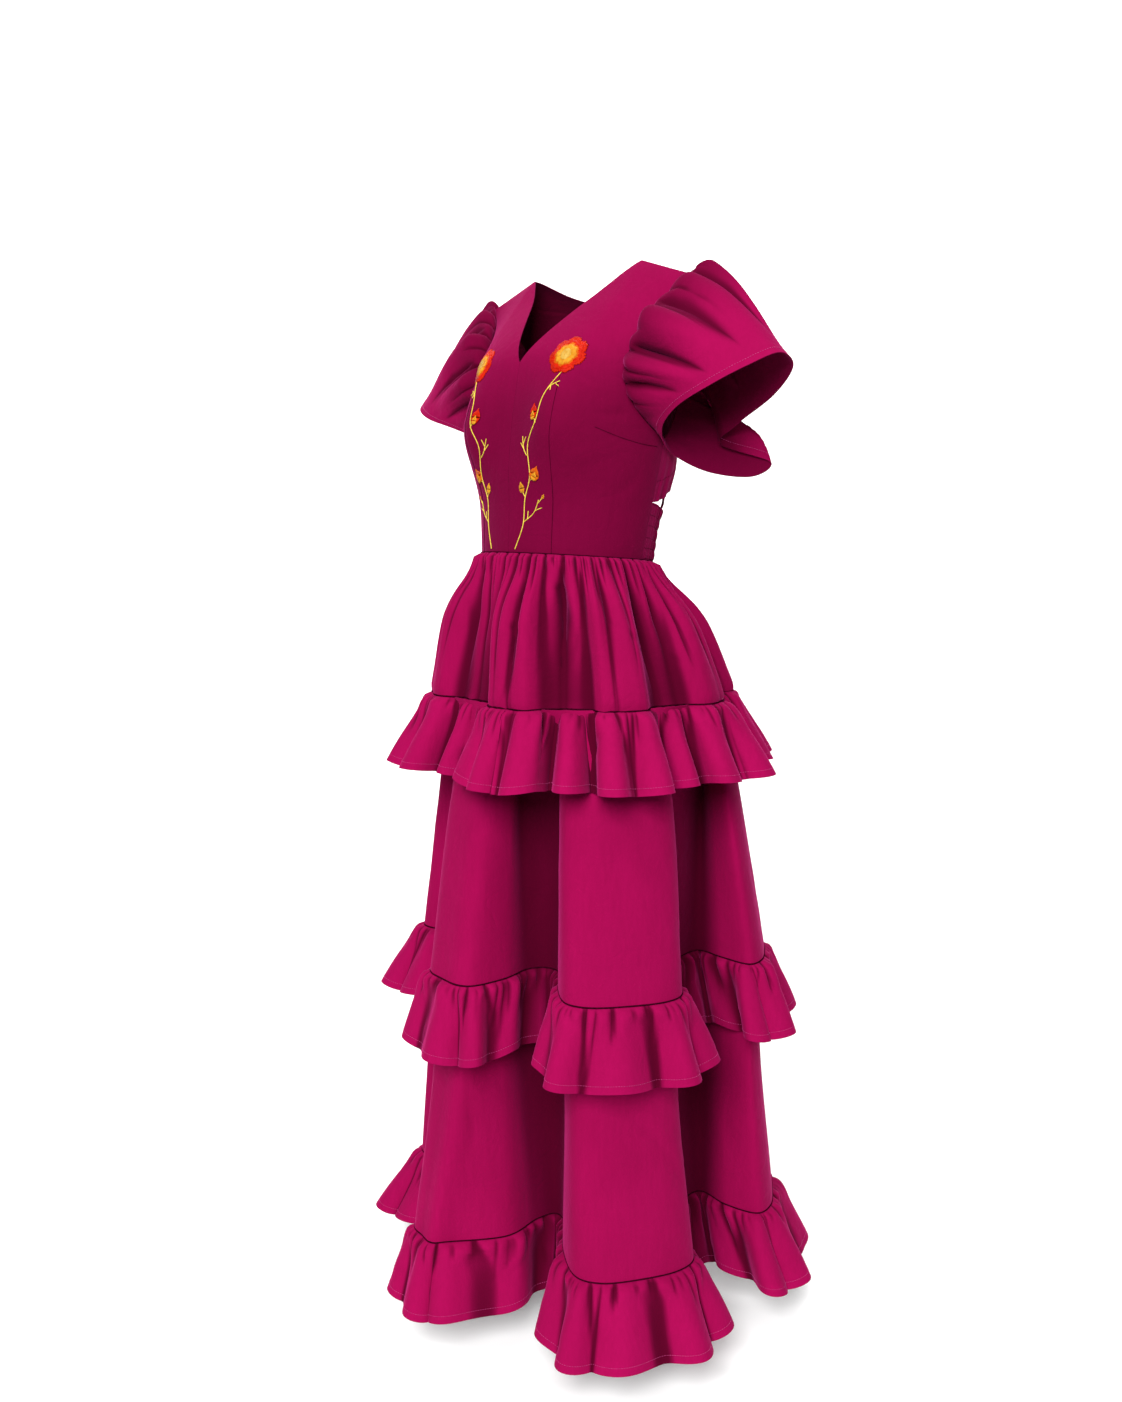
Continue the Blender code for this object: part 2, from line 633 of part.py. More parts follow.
KNOT_HALF = np.array([0.0085, 0.0056, 0.0062])
KNOT_HEIGHT = -0.2365
KNOT_SHAPE = 0.75


def back_surface_y(x, height=KNOT_HEIGHT):
    """How far back the upper back's outer face lies beside the tie."""
    width = curve_at(TORSO["height"], TORSO["half_width"], height)
    azimuth = math.pi - np.arcsin(np.clip(np.abs(x) / width, 0, 1))
    return upper_back_face(azimuth, height)[..., 1]


# Routes of the tie, as distance to the side, height, and distance out from the back.
LOOP_ROUTE = {
    "side": (0.0083, 0.024, 0.044, 0.060, 0.066, 0.061, 0.049, 0.035, 0.024, 0.015, 0.0083),
    "height": (-0.2325, -0.234, -0.242, -0.258, -0.279, -0.298, -0.306, -0.300, -0.282, -0.258, -0.2405),
    "out": (0.0058, 0.0055, 0.005, 0.005, 0.006, 0.007, 0.0075, 0.008, 0.0082, 0.0075, 0.0062),
}
TAIL_ROUTE = {
    "side": (0.0035, 0.0055, 0.011, 0.0150, 0.0172, 0.018),
    "height": (-0.2428, -0.254, -0.275, -0.297, -0.318, -0.336),
    "out": (0.0062, 0.0075, 0.0110, 0.0130, 0.0140, 0.0135),
}


def route_points(route, side, steps, longer=0.0):
    """Points along a cord's smooth route."""
    knots = np.arange(len(route["side"]), dtype=float)
    at = np.linspace(0, knots[-1], steps)
    x, z, out = (curve_at(knots, route[column], at) for column in ("side", "height", "out"))
    z = z - longer * (at / knots[-1]) ** 2
    return np.stack([side * x, back_surface_y(x) + out, z], 1)


def add_cord(name, points, material):
    """A length of round cord as a bevelled curve with closed ends."""
    curve = bpy.data.curves.new(name, "CURVE")
    curve.dimensions = "3D"
    curve.bevel_depth = CORD_DIAMETER / 2
    curve.bevel_resolution = 2
    curve.use_fill_caps = True
    spline = curve.splines.new("POLY")
    spline.points.add(len(points) - 1)
    for point, place in zip(spline.points, points):
        point.co = (*place, 1.0)
    curve.materials.append(material)
    cord = bpy.data.objects.new(name, curve)
    bpy.context.scene.collection.objects.link(cord)
    return cord


def add_knot(name, material):
    """The bow's knot: a squat rounded lump between the corners of the two back halves."""
    mesh = bpy.data.meshes.new(name)
    rings, sides = 7, 12
    centre = np.array([0.0, float(back_surface_y(0.0)) + KNOT_HALF[1] + 0.0004, KNOT_HEIGHT])
    points = []
    for ring in range(1, rings):
        polar_angle = math.pi * ring / rings
        for k in range(sides):
            turn = 2 * math.pi * k / sides
            unit = np.array([
                math.sin(polar_angle) * math.cos(turn),
                math.sin(polar_angle) * math.sin(turn),
                math.cos(polar_angle),
            ])
            points.append(centre + KNOT_HALF * np.sign(unit) * np.abs(unit) ** KNOT_SHAPE)
    top, bottom = len(points), len(points) + 1
    points += [centre + (0, 0, KNOT_HALF[2]), centre - (0, 0, KNOT_HALF[2])]
    faces = []
    for ring in range(rings - 2):
        for k in range(sides):
            a, b = ring * sides + k, ring * sides + (k + 1) % sides
            faces.append((a, a + sides, b + sides, b))
    for k in range(sides):
        faces.append((top, k, (k + 1) % sides))
        last = (rings - 2) * sides
        faces.append((bottom, last + (k + 1) % sides, last + k))
    mesh.from_pydata([tuple(p) for p in points], [], faces)
    mesh.materials.append(material)
    mesh.shade_smooth()
    knot = bpy.data.objects.new(name, mesh)
    bpy.context.scene.collection.objects.link(knot)
    return knot


def build_bodice(velvet, shade):
    for side, word in ((1, "left"), (-1, "right")):
        add_cloth(f"bodice_front_{word}", front_half(side), velvet, seams=front_seams(side))
        add_cloth(f"back_upper_{word}", upper_back_half(side), shade, seams=back_seams(side))
    add_cloth("back_waist_panel", back_waist_panel(), shade, seams=waist_panel_seams())
    armhole = ((0, EVERY, (1, 0, 0)),)
    add_cloth("sleeve_left", sleeve(1), velvet, closed=True, seams=armhole)
    lower_sleeve = sleeve(-1, spread=1.06, lower=0.012)
    add_cloth("sleeve_right", lower_sleeve, velvet, closed=True, seams=armhole)


def build_skirt(velvet, shade):
    add_cloth("skirt_tier_1", tier_1(4 * WAIST_GATHERS), velvet, True, LEVEL_WALL)
    fine_places, fine_turns = fold_places(4 * DEEP_RUFFLE_WAVES, 0.03)
    places = fine_places[::2]
    ring_1 = inset(hip_ring(fine_turns[::2]), WALL + 0.0005)
    below_1 = closed_curve(fold_ring(FOLDS_2, crests=SHALLOW_CREST, troughs=SHALLOW_TROUGH), places)
    ring_2, ring_3 = (closed_curve(fold_ring(folds), places) for folds in (FOLDS_2, FOLDS_3))
    seam_2, seam_3 = with_midpoints(ring_2), with_midpoints(ring_3)
    tier_2 = [(SEAM_1 - SEAM_GAP, ring_1), (SEAM_1 - 0.097, below_1), (SEAM_2, ring_2)]
    below_2 = 0.88 * inset(ring_2, 0.0085) + 0.12 * ring_3
    top_3 = inset(ring_2, WALL + 0.0004)
    tier_3 = [(SEAM_2 - SEAM_GAP, top_3), (SEAM_2 - 0.11, below_2), (SEAM_3, ring_3)]
    add_cloth("skirt_tier_2", hanging(tier_2, (2, 2)), velvet, True, LEVEL_WALL)
    add_cloth("skirt_tier_3", hanging(tier_3, (1, 1)), velvet, True, LEVEL_WALL)
    downs = (0, 0.4, 1)
    turns = np.arange(5 * RUFFLE_1_WAVES) / (5 * RUFFLE_1_WAVES)
    seam = hip_ring(turns)
    hem = seam * (1 + RUFFLE_FLARE / 0.2)
    add_cloth(
        "ruffle_1",
        ruffle(seam, hem, SEAM_1 - SEAM_GAP, RUFFLE_DROP, RUFFLE_1_WAVES, 0.0120, downs),
        shade, True, LEVEL_WALL,
    )
    for k, folds, seam, top in ((2, FOLDS_2, seam_2, SEAM_2), (3, FOLDS_3, seam_3, SEAM_3)):
        hem = closed_curve(fold_ring(folds, hem=True), fine_places)
        grid = ruffle(seam, hem, top - SEAM_GAP, RUFFLE_DROP, DEEP_RUFFLE_WAVES, 0.0095, downs)
        add_cloth(f"ruffle_{k}", grid, shade, True, LEVEL_WALL)


def build_tie(cord):
    add_knot("tie_knot", cord)
    for side, word, longer in ((1, "left", 0.0), (-1, "right", 0.010)):
        add_cord(f"tie_loop_{word}", route_points(LOOP_ROUTE, side, 20, 0.0), cord)
        add_cord(f"tie_tail_{word}", route_points(TAIL_ROUTE, side, 10, longer), cord)


def main():
    for old in list(bpy.data.objects):
        bpy.data.objects.remove(old)
    velvet = cloth_material("velvet", VELVET, 0.75)
    shade = cloth_material("velvet_trim", VELVET_SHADE, 0.78)
    cord = cloth_material("cord", CORD_COLOUR, 0.7)
    build_bodice(velvet, shade)
    build_skirt(velvet, shade)
    build_tie(cord)


main()
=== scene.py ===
"""Looks for the velvet dress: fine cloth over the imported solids, gathers, stitching and embroidery.

The sizes and the plain form functions are those of the solids, read here at a finer step. The
functions named fine_ add the cloth's gathers, creases and darts.
Frame: metres, +Z up, the front faces -Y, the wearer's left is +X.
"""

import math

import bpy
import numpy as np
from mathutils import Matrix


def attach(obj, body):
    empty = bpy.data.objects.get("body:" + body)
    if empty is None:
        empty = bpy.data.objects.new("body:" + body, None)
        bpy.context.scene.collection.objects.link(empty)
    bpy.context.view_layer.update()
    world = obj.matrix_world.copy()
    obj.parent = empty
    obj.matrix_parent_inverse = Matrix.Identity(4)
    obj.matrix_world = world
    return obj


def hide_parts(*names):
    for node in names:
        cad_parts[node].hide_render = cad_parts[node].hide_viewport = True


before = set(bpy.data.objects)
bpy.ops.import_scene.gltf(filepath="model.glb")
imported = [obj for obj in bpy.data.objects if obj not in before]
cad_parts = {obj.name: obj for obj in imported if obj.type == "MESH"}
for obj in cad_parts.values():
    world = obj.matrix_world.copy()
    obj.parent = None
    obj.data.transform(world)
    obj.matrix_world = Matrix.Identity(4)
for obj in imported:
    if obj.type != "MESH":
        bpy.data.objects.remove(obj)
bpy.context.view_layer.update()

WALL = 0.0016
SEAM_GAP = 0.0003
SHOULDER_DROP = 0.34
NECK_HALF_WIDTH = 0.102
NECK_HEIGHT = 0.015
SHOULDER_HALF_WIDTH = 0.1875
V_DEPTH = -0.116
NECK_CURVE = 0.008
BACK_NECK_DROP = 0.036
FRONT_SLOPE = 0.13
BACK_ROUND = 0.09
WAIST_FRONT = -0.361
WAIST_DIP = 0.017
UNDERARM = -0.215
SIDE_SEAM = math.radians(97)
BUST_HEIGHT = -0.198
BUST_HALF_SPAN = 0.090
CUP_DEPTH = 0.034
SEAM_1 = -0.558
SEAM_2 = -0.927
SEAM_3 = -1.295
RUFFLE_DROP = 0.098
RUFFLE_FLARE = 0.046
FRONT_ARM_END = -0.145
BACK_ARM_END = -0.150
ARM_DROP = 1.05
BACK_EDGE_AT_SIDE = -0.296
BACK_EDGE_RISE = 0.058
BACK_SLIT = 0.0012
WAIST_PANEL_TOP = -0.2965
WAIST_PANEL_GATHERS = 11
WAIST_PANEL_RIPPLE = 0.0024
CORD_DIAMETER = 0.0036

# The torso that the cloth stands off: one row for each height.
TORSO = {
    "height": (0.03, -0.014, -0.05, -0.10, -0.15, -0.20, -0.25, -0.30, -0.38),
    "half_width": (0.190, 0.1885, 0.176, 0.166, 0.157, 0.151, 0.145, 0.138, 0.127),
    "front": (0.078, 0.082, 0.096, 0.112, 0.117, 0.120, 0.121, 0.116, 0.109),
    "back": (0.078, 0.080, 0.088, 0.102, 0.110, 0.111, 0.104, 0.092, 0.101),
    "centre": (0.000, 0.000, -0.002, -0.006, -0.011, -0.016, -0.021, -0.026, -0.036),
}
# The armhole, down from the shoulder: how far round the torso from the front its two edges lie.
ARMHOLE = {
    "height": (-0.014, -0.035, -0.065, -0.10, -0.14, -0.175, -0.20, UNDERARM),
    "front_edge": (89.5, 74, 64, 60, 62, 71, 84, 97),
    "back_edge": (90.5, 103, 112, 115, 113, 108, 102, 97),
}
# The six deep folds of the skirt, round from the front towards the wearer's left, on the rings
# that end the second and third tiers. Azimuths are in degrees: where a fold leaves the trough
# before it and reaches its crest, and the same on its far side. Radii: crest, and trough after.
# Flare: how much further out the ruffle's hem hangs on the fold.
FOLDS_2 = {
    "from_low": (-24, 33, 121, 170, 222, 272),
    "from_mid": (-24, 34.5, 115.5, 168, 220, 271),
    "from_high": (-17, 39, 112, 171, 223, 275),
    "to_high": (7, 76, 140, 196, 250, 301),
    "to_mid": (11, 82, 144, 199, 252, 304),
    "to_low": (12, 83, 142, 197, 249, 302),
    "crest": (0.248, 0.258, 0.260, 0.255, 0.262, 0.258),
    "trough": (0.125, 0.150, 0.143, 0.138, 0.143, 0.140),
    "flare": (0.026, 0.030, 0.034, 0.040, 0.040, 0.046),
}
FOLDS_3 = {
    "from_low": (-25, 34, 121.5, 170, 222, 272),
    "from_mid": (-24, 36.5, 114.5, 168, 220, 271),
    "from_high": (-17, 42, 113, 171, 223, 275),
    "to_high": (-1, 80, 143, 196, 250, 301),
    "to_mid": (12, 84, 146, 199, 252, 304),
    "to_low": (16, 85, 144, 197, 249, 302),
    "crest": (0.276, 0.270, 0.280, 0.270, 0.280, 0.268),
    "trough": (0.112, 0.156, 0.146, 0.138, 0.146, 0.140),
    "flare": (0.026, 0.038, 0.048, 0.044, 0.044, 0.056),
}
# The same folds just under the first ruffle, where they are still shallow.
SHALLOW_CREST = (0.205, 0.213, 0.212, 0.212, 0.216, 0.221)
SHALLOW_TROUGH = (0.146, 0.158, 0.154, 0.150, 0.154, 0.150)
# Ring 1, where the first tier ends: radius every 30 degrees from the front.
HIP_RING = (0.184, 0.195, 0.190, 0.195, 0.194, 0.195, 0.198, 0.202, 0.202, 0.200, 0.204, 0.196)

WAIST_GATHERS = 38
RUFFLE_1_WAVES = 27
DEEP_RUFFLE_WAVES = 46
SLEEVE_GATHERS = 7
# How much wider, in degrees, and how much further out the folds' troughs lie at a ruffle's hem
HEM_WIDENING = 3.8
HEM_TROUGH_FLARE = 0.02
# Steps round a ring when its length is measured, and how much its corners draw places together
RING_STEPS = 2400
CORNER_PULL = 0.03

SIDES = ((1, "left"), (-1, "right"))
# Half a side seam's gap, in radians
SIDE_GAP = SEAM_GAP / 2 / 0.14


def smooth(t):
    """0 to 1 with level ends."""
    t = np.clip(t, 0.0, 1.0)
    return t * t * (3 - 2 * t)


def between(start, end, start_slope, end_slope, width, t):
    """A smooth run from one value to the next, at a share of the width between them."""
    return (
        start * (1 + 2 * t) * (1 - t) ** 2
        + start_slope * width * t * (1 - t) ** 2
        + end * t * t * (3 - 2 * t)
        - end_slope * width * t * t * (1 - t)
    )


def curve_at(knots, values, at):
    """A smooth curve through a table's values, without overshoot, read at any place."""
    knots, values = np.asarray(knots, float), np.asarray(values, float)
    if knots[0] > knots[-1]:
        knots, values = knots[::-1], values[::-1]
    steps = np.diff(values) / np.diff(knots)
    slopes = np.concatenate([[steps[0]], (steps[1:] + steps[:-1]) / 2, [steps[-1]]])
    flat = np.concatenate([[False], steps[1:] * steps[:-1] <= 0, [False]])
    slopes = np.where(flat, 0.0, slopes)
    at = np.clip(np.asarray(at, float), knots[0], knots[-1])
    i = np.clip(np.searchsorted(knots, at) - 1, 0, len(steps) - 1)
    width = knots[i + 1] - knots[i]
    t = (at - knots[i]) / width
    return between(values[i], values[i + 1], slopes[i], slopes[i + 1], width, t)


def along_line(line):
    """Length run at each point of an open line."""
    return np.concatenate([[0], np.cumsum(np.linalg.norm(np.diff(line, axis=0), axis=1))])


def read_along(values, run, at):
    """Rows of values read at lengths along the line that they belong to."""
    return np.stack([np.interp(at, run, column) for column in values.T], 1)


def closed_curve(points, at):
    """A closed smooth curve through points, read at places counted in points."""
    points = np.asarray(points, float)
    count = len(points)
    at = np.asarray(at, float)
    i = np.floor(at).astype(int)
    t = (at - i)[:, None]
    before, here, after, beyond = (points[(i + k) % count] for k in (-1, 0, 1, 2))
    return 0.5 * (
        2 * here
        + (after - before) * t
        + (2 * before - 5 * here + 4 * after - beyond) * t**2
        + (3 * here - before - 3 * after + beyond) * t**3
    )


def shoulder_line(x):
    """Height of the shoulder seam at a distance from the centre."""
    return NECK_HEIGHT - SHOULDER_DROP * np.maximum(np.abs(x) - NECK_HALF_WIDTH, 0.0)


def waist_height(azimuth):
    return WAIST_FRONT - WAIST_DIP * (1 - np.cos(azimuth)) / 2


def half_width_at(z):
    return curve_at(TORSO["height"], TORSO["half_width"], z)


def cups(x, z):
    """How far the bust cups push the cloth forward."""
    across = (np.abs(x) - BUST_HALF_SPAN) / 0.050
    above = z > BUST_HEIGHT
    down = (z - BUST_HEIGHT) / np.where(above, 0.075, 0.058)
    return CUP_DEPTH * np.exp(-(across**2) - down**2)


def torso(azimuth, z):
    """Outer face of the cloth round the torso, azimuth from the front towards +X."""
    azimuth, z = np.broadcast_arrays(np.asarray(azimuth, float), np.asarray(z, float))
    width, front, back, centre = (
        curve_at(TORSO["height"], TORSO[column], z)
        for column in ("half_width", "front", "back", "centre")
    )
    x = width * np.sin(azimuth)
    forward = np.cos(azimuth)
    depth = np.where(forward > 0, front, back)
    drop = np.maximum(shoulder_line(x) - z, 0.0)
    sloping = (1 - (1 - np.minimum(drop / FRONT_SLOPE, 1.0)) ** 1.6) ** 0.85
    rounded = np.sqrt(1 - (1 - np.minimum(drop / BACK_ROUND, 1.0)) ** 2)
    rounding = np.where(forward > 0, sloping, rounded)
    y = centre - depth * forward * rounding - cups(x, z) * np.maximum(forward, 0.0) ** 0.5
    return np.stack([x, y, z], -1)


def grid_normals(grid, closed):
    """Outward unit normals of a grid of points, rows going down and columns going round."""
    if closed:
        across = np.roll(grid, -1, 1) - np.roll(grid, 1, 1)
    else:
        across = np.gradient(grid, axis=1)
    down = np.gradient(grid, axis=0)
    normals = np.cross(down, across)
    return normals / np.maximum(np.linalg.norm(normals, axis=-1, keepdims=True), 1e-12)


def wall_from(grid, closed, seams, wall):
    """The cloth's wall: its outer grid, and the same grid moved in by the cloth's thickness.

    Along a seam the wall stands square to the seam's plane, so that two pieces lie side by side.
    """
    normals = grid_normals(grid, closed)
    for rows, columns, plane in seams:
        plane = np.asarray(plane, float)
        edge = normals[rows, columns]
        edge = edge - (edge @ plane)[..., None] * plane
        normals[rows, columns] = edge / np.linalg.norm(edge, axis=-1, keepdims=True)
    return grid, grid - normals * wall


EVERY = slice(None)
LEVEL_WALL = ((EVERY, EVERY, (0, 0, 1)),)


def panel(inner_edge, outer_edge, across, side):
    """A bodice panel between two edges, each with an azimuth and a height for every row.

    Rows near the shoulder follow its slope, and rows near the waist follow the waist seam.
    """
    inner_azimuth, inner_z = (values[:, None] for values in inner_edge)
    outer_azimuth, outer_z = (values[:, None] for values in outer_edge)
    share = np.asarray(across)[None, :]
    azimuth = inner_azimuth * (1 - share) + outer_azimuth * share
    straight = inner_z * (1 - share) + outer_z * share
    near_top = smooth(1 + (inner_z - 0.02) / 0.2)
    z_level = straight
    for _ in range(2):
        slope = shoulder_line(half_width_at(z_level) * np.sin(azimuth))
        inner_slope, outer_slope = slope[:, :1], slope[:, -1:]
        follow = inner_z - inner_slope + slope
        follow = follow + share * (outer_z - inner_z - outer_slope + inner_slope)
        z_level = near_top * follow + (1 - near_top) * straight
    return torso(side * azimuth, z_level)


def neck_edge_azimuth(x, z):
    """Azimuth of a point of the neckline from its distance from the centre."""
    return np.arcsin(np.clip(x / half_width_at(z), 0, 1))


def shoulder_drops(steps):
    """Drops below the shoulder seam for the rows over its rounded top."""
    return 0.105 * np.linspace(0.0, 1.0, steps) ** 1.4


def part_shoulders(grid, front):
    """Leave a seam's gap between the front and the back along the shoulder."""
    half = SEAM_GAP / 2
    grid[0, :, 1] = np.minimum(grid[0, :, 1], -half) if front else np.maximum(grid[0, :, 1], half)


def onward(start, end, steps):
    """Even steps from a start, which is left out, to an end."""
    return np.linspace(start, end, steps + 1)[1:]


def front_edges(shoulder_rows, neck_rows, chest_rows, waist_rows):
    """Inner and outer edges of a front half: neckline and centre seam, armhole and side seam."""
    drops = shoulder_drops(shoulder_rows)
    v_drop = NECK_HEIGHT - V_DEPTH
    neck_drops = np.concatenate([drops, onward(drops[-1], v_drop, neck_rows)])
    neck_share = neck_drops / v_drop
    neck_x = NECK_HALF_WIDTH * (1 - neck_share) + SEAM_GAP / 2
    neck_x = neck_x - NECK_CURVE * np.sin(math.pi * neck_share**0.6)
    neck_z = NECK_HEIGHT - neck_drops
    centre_z = np.concatenate([
        onward(V_DEPTH, BUST_HEIGHT + 0.006, chest_rows),
        onward(BUST_HEIGHT + 0.006, WAIST_FRONT, waist_rows),
    ])
    inner_z = np.concatenate([neck_z, centre_z])
    inner_x = np.concatenate([neck_x, np.full(len(centre_z), SEAM_GAP / 2)])
    inner = neck_edge_azimuth(inner_x, inner_z)
    tip_z = shoulder_line(SHOULDER_HALF_WIDTH)
    arm_drops = drops * ARM_DROP
    outer_z = np.concatenate([
        tip_z - arm_drops,
        onward(tip_z - arm_drops[-1], FRONT_ARM_END, neck_rows),
        onward(FRONT_ARM_END, UNDERARM, chest_rows),
        onward(UNDERARM, waist_height(SIDE_SEAM), waist_rows),
    ])
    outer = np.where(
        outer_z > UNDERARM,
        np.radians(curve_at(ARMHOLE["height"], ARMHOLE["front_edge"], outer_z)),
        SIDE_SEAM - SIDE_GAP,
    )
    return (inner, inner_z), (outer, outer_z)


def front_half(side, columns, rows):
    """Front of the bodice in a half on each side, from the shoulder seam to the waist."""
    inner, outer = front_edges(*rows)
    share = np.linspace(0, 1, columns)
    grid = panel(inner, outer, share, side)
    azimuth = inner[0][:, None] * (1 - share) + outer[0][:, None] * share
    level = smooth((inner[1][:, None] + 0.24) / (WAIST_FRONT + 0.24))
    chord = WAIST_FRONT * (1 - share) + outer[1][-1] * share
    grid[..., 2] += level * (waist_height(azimuth) - chord)
    part_shoulders(grid, front=True)
    return grid if side > 0 else grid[:, ::-1]


def side_plane(side):
    """Direction square to a side seam."""
    ends = torso(side * (SIDE_SEAM + np.array([-0.05, 0.05])), -0.28)
    across = ends[1] - ends[0]
    return across / np.linalg.norm(across)


def half_seams(side, front, side_rows):
    """Where half of the front or the upper back is sewn: centre, side seam and shoulder."""
    inner, outer = (0, -1) if (side > 0) == front else (-1, 0)
    at_side = (slice(-1 - side_rows, None), outer, side_plane(side))
    return (EVERY, inner, (1, 0, 0)), at_side, (0, EVERY, (0, 1, 0))


def back_lower_edge(azimuth):
    """Height of the upper back's lower edge: low at the side seam, high at the tie."""
    share = smooth((azimuth - SIDE_SEAM) / (math.pi - SIDE_SEAM))
    return BACK_EDGE_AT_SIDE + BACK_EDGE_RISE * share


def push_out(grid, azimuth, distance):
    """Move a grid level and outwards, in place."""
    grid[..., 0] += distance * np.sin(azimuth)
    grid[..., 1] -= distance * np.cos(azimuth)
    return grid


def upper_back_face(azimuth, z):
    """Outer face of the upper back, which stands off the torso above its free lower edge."""
    face = torso(azimuth, z)
    stand_off = 0.010 * smooth((azimuth - SIDE_SEAM) / 0.6) * smooth((-0.17 - face[..., 2]) / 0.09)
    return push_out(face, azimuth, stand_off)


def upper_back_half(side, columns, rows):
    """Upper back, from the shoulder seam to the open lower back, in a half on each side."""
    shoulder_rows, arm_rows, side_rows = rows
    drops = shoulder_drops(shoulder_rows)
    tip_z = shoulder_line(SHOULDER_HALF_WIDTH)
    neck_share = np.clip(drops / BACK_NECK_DROP, 0, 1)
    neck_x = np.maximum(NECK_HALF_WIDTH * np.sqrt(1 - neck_share**1.3), BACK_SLIT)
    neck_z = NECK_HEIGHT - np.minimum(drops, BACK_NECK_DROP + (drops - BACK_NECK_DROP) * 0.8)
    bottom = back_lower_edge(math.pi)
    inner_z = np.concatenate([
        neck_z,
        onward(neck_z[-1], BACK_ARM_END, arm_rows),
        onward(BACK_ARM_END, bottom, side_rows),
    ])
    slit_x = BACK_SLIT + 0.0030 * smooth((inner_z + 0.10) / (bottom + 0.10))
    inner_x = np.concatenate([neck_x, slit_x[shoulder_rows:]])
    inner = math.pi - neck_edge_azimuth(inner_x, inner_z)
    outer_z = np.concatenate([
        tip_z - drops * ARM_DROP,
        onward(tip_z - drops[-1] * ARM_DROP, UNDERARM, arm_rows),
        onward(UNDERARM, BACK_EDGE_AT_SIDE, side_rows),
    ])
    outer = np.where(
        outer_z > UNDERARM,
        np.radians(curve_at(ARMHOLE["height"], ARMHOLE["back_edge"], outer_z)),
        SIDE_SEAM + SIDE_GAP,
    )
    share = np.linspace(0, 1, columns)
    azimuth = inner[:, None] * (1 - share) + outer[:, None] * share
    grid = panel((inner, inner_z), (outer, outer_z), share, side)
    edge = smooth((inner_z[:, None] + 0.15) / (bottom + 0.15))
    chord = bottom * (1 - share) + BACK_EDGE_AT_SIDE * share
    grid[..., 2] += edge * (back_lower_edge(azimuth) - chord)
    grid = upper_back_face(azimuth, grid[..., 2]) * (side, 1, 1)
    part_shoulders(grid, front=False)
    return grid[:, ::-1] if side > 0 else grid


def back_waist_panel(columns, rows):
    """Elasticated panel across the lower back, gathered, between the side seams."""
    edge = SIDE_SEAM + SIDE_GAP
    azimuth = np.linspace(edge, 2 * math.pi - edge, columns)[None, :]
    down = np.linspace(0, 1, rows)[:, None]
    middle = smooth((azimuth - SIDE_SEAM) / 0.5) * smooth((2 * math.pi - SIDE_SEAM - azimuth) / 0.5)
    top = WAIST_PANEL_TOP - 0.010 * middle
    z = top * (1 - down) + waist_height(azimuth) * down
    wave = np.cos(azimuth * 2 * math.pi * WAIST_PANEL_GATHERS / np.ptp(azimuth))
    ripple = WAIST_PANEL_RIPPLE * middle * (0.5 + 0.5 * wave)
    ripple = ripple * (1 - 0.5 * down) + 0.004 * (1 - down) ** 6 * middle
    return push_out(torso(azimuth, z), azimuth, ripple)


def fold_ring(folds, hem=False, crests=None, troughs=None):
    """Control points of a ring through the skirt's six deep folds, in plan.

    A ruffle's hem is the same ring, grown outwards and with its folds widened.
    """
    crests, troughs = crests or folds["crest"], troughs or folds["trough"]
    widen = HEM_WIDENING if hem else 0.0
    if hem:
        crests = [crest + flare for crest, flare in zip(crests, folds["flare"])]
        troughs = [trough + HEM_TROUGH_FLARE for trough in troughs]
    points = []
    for k, crest in enumerate(crests):
        before, after = troughs[k - 1], troughs[k]
        start, end = folds["from_high"][k] - widen, folds["to_high"][k] + widen
        following = folds["from_low"][(k + 1) % len(crests)] + (360 if k == len(crests) - 1 else 0)
        for azimuth, share, low in (
            (folds["from_low"][k] - widen, 0.15, before),
            (folds["from_mid"][k] - widen, 0.5, before),
            (start, 0.88, before),
            (start + 0.2 * (end - start), 1.0, before),
            ((start + end) / 2, 1.0, before),
            (end - 0.2 * (end - start), 1.0, after),
            (end, 0.88, after),
            (folds["to_mid"][k] + widen, 0.5, after),
            (folds["to_low"][k] + widen, 0.15, after),
            ((folds["to_low"][k] + following) / 2, 0.0, after),
        ):
            points.append(polar(azimuth, low + (crest - low) * share))
    return np.array(points)


def polar(azimuth, radius):
    """Plan point at an azimuth in degrees from the front."""
    turn = math.radians(azimuth)
    return radius * math.sin(turn), -radius * math.cos(turn)


def even_places(points, count):
    """Places along a closed curve, equally far apart but closer together where it bends."""
    fine = np.linspace(0, len(points), RING_STEPS, endpoint=False)
    line = closed_curve(points, fine)
    ahead = np.roll(line, -1, 0) - line
    steps = np.linalg.norm(ahead, axis=1)
    heading = ahead / steps[:, None]
    bend = np.linalg.norm(np.roll(heading, -1, 0) - heading, axis=1)
    window = np.hanning(61)
    bend = np.convolve(np.tile(bend, 3), window / window.sum(), "same")[RING_STEPS:2 * RING_STEPS]
    length = np.concatenate([[0], np.cumsum(steps + CORNER_PULL * bend)])
    wanted = np.linspace(0, length[-1], count, endpoint=False)
    return np.interp(wanted, length, np.append(fine, len(points)))


def plan_normals(ring):
    """Outward normals of a closed ring in plan."""
    along = np.roll(ring, -1, 0) - np.roll(ring, 1, 0)
    normals = np.stack([along[:, 1], -along[:, 0]], 1)
    return normals / np.linalg.norm(normals, axis=1, keepdims=True)


def hip_ring(turns):
    """Ring 1 in plan at shares of a turn from the front."""
    knots = np.arange(-1, 14) / 12
    radii = np.array([HIP_RING[k % 12] for k in range(-1, 14)])
    radius = curve_at(knots, radii, turns % 1.0)
    angle = 2 * math.pi * turns
    return np.stack([radius * np.sin(angle), -radius * np.cos(angle)], 1)


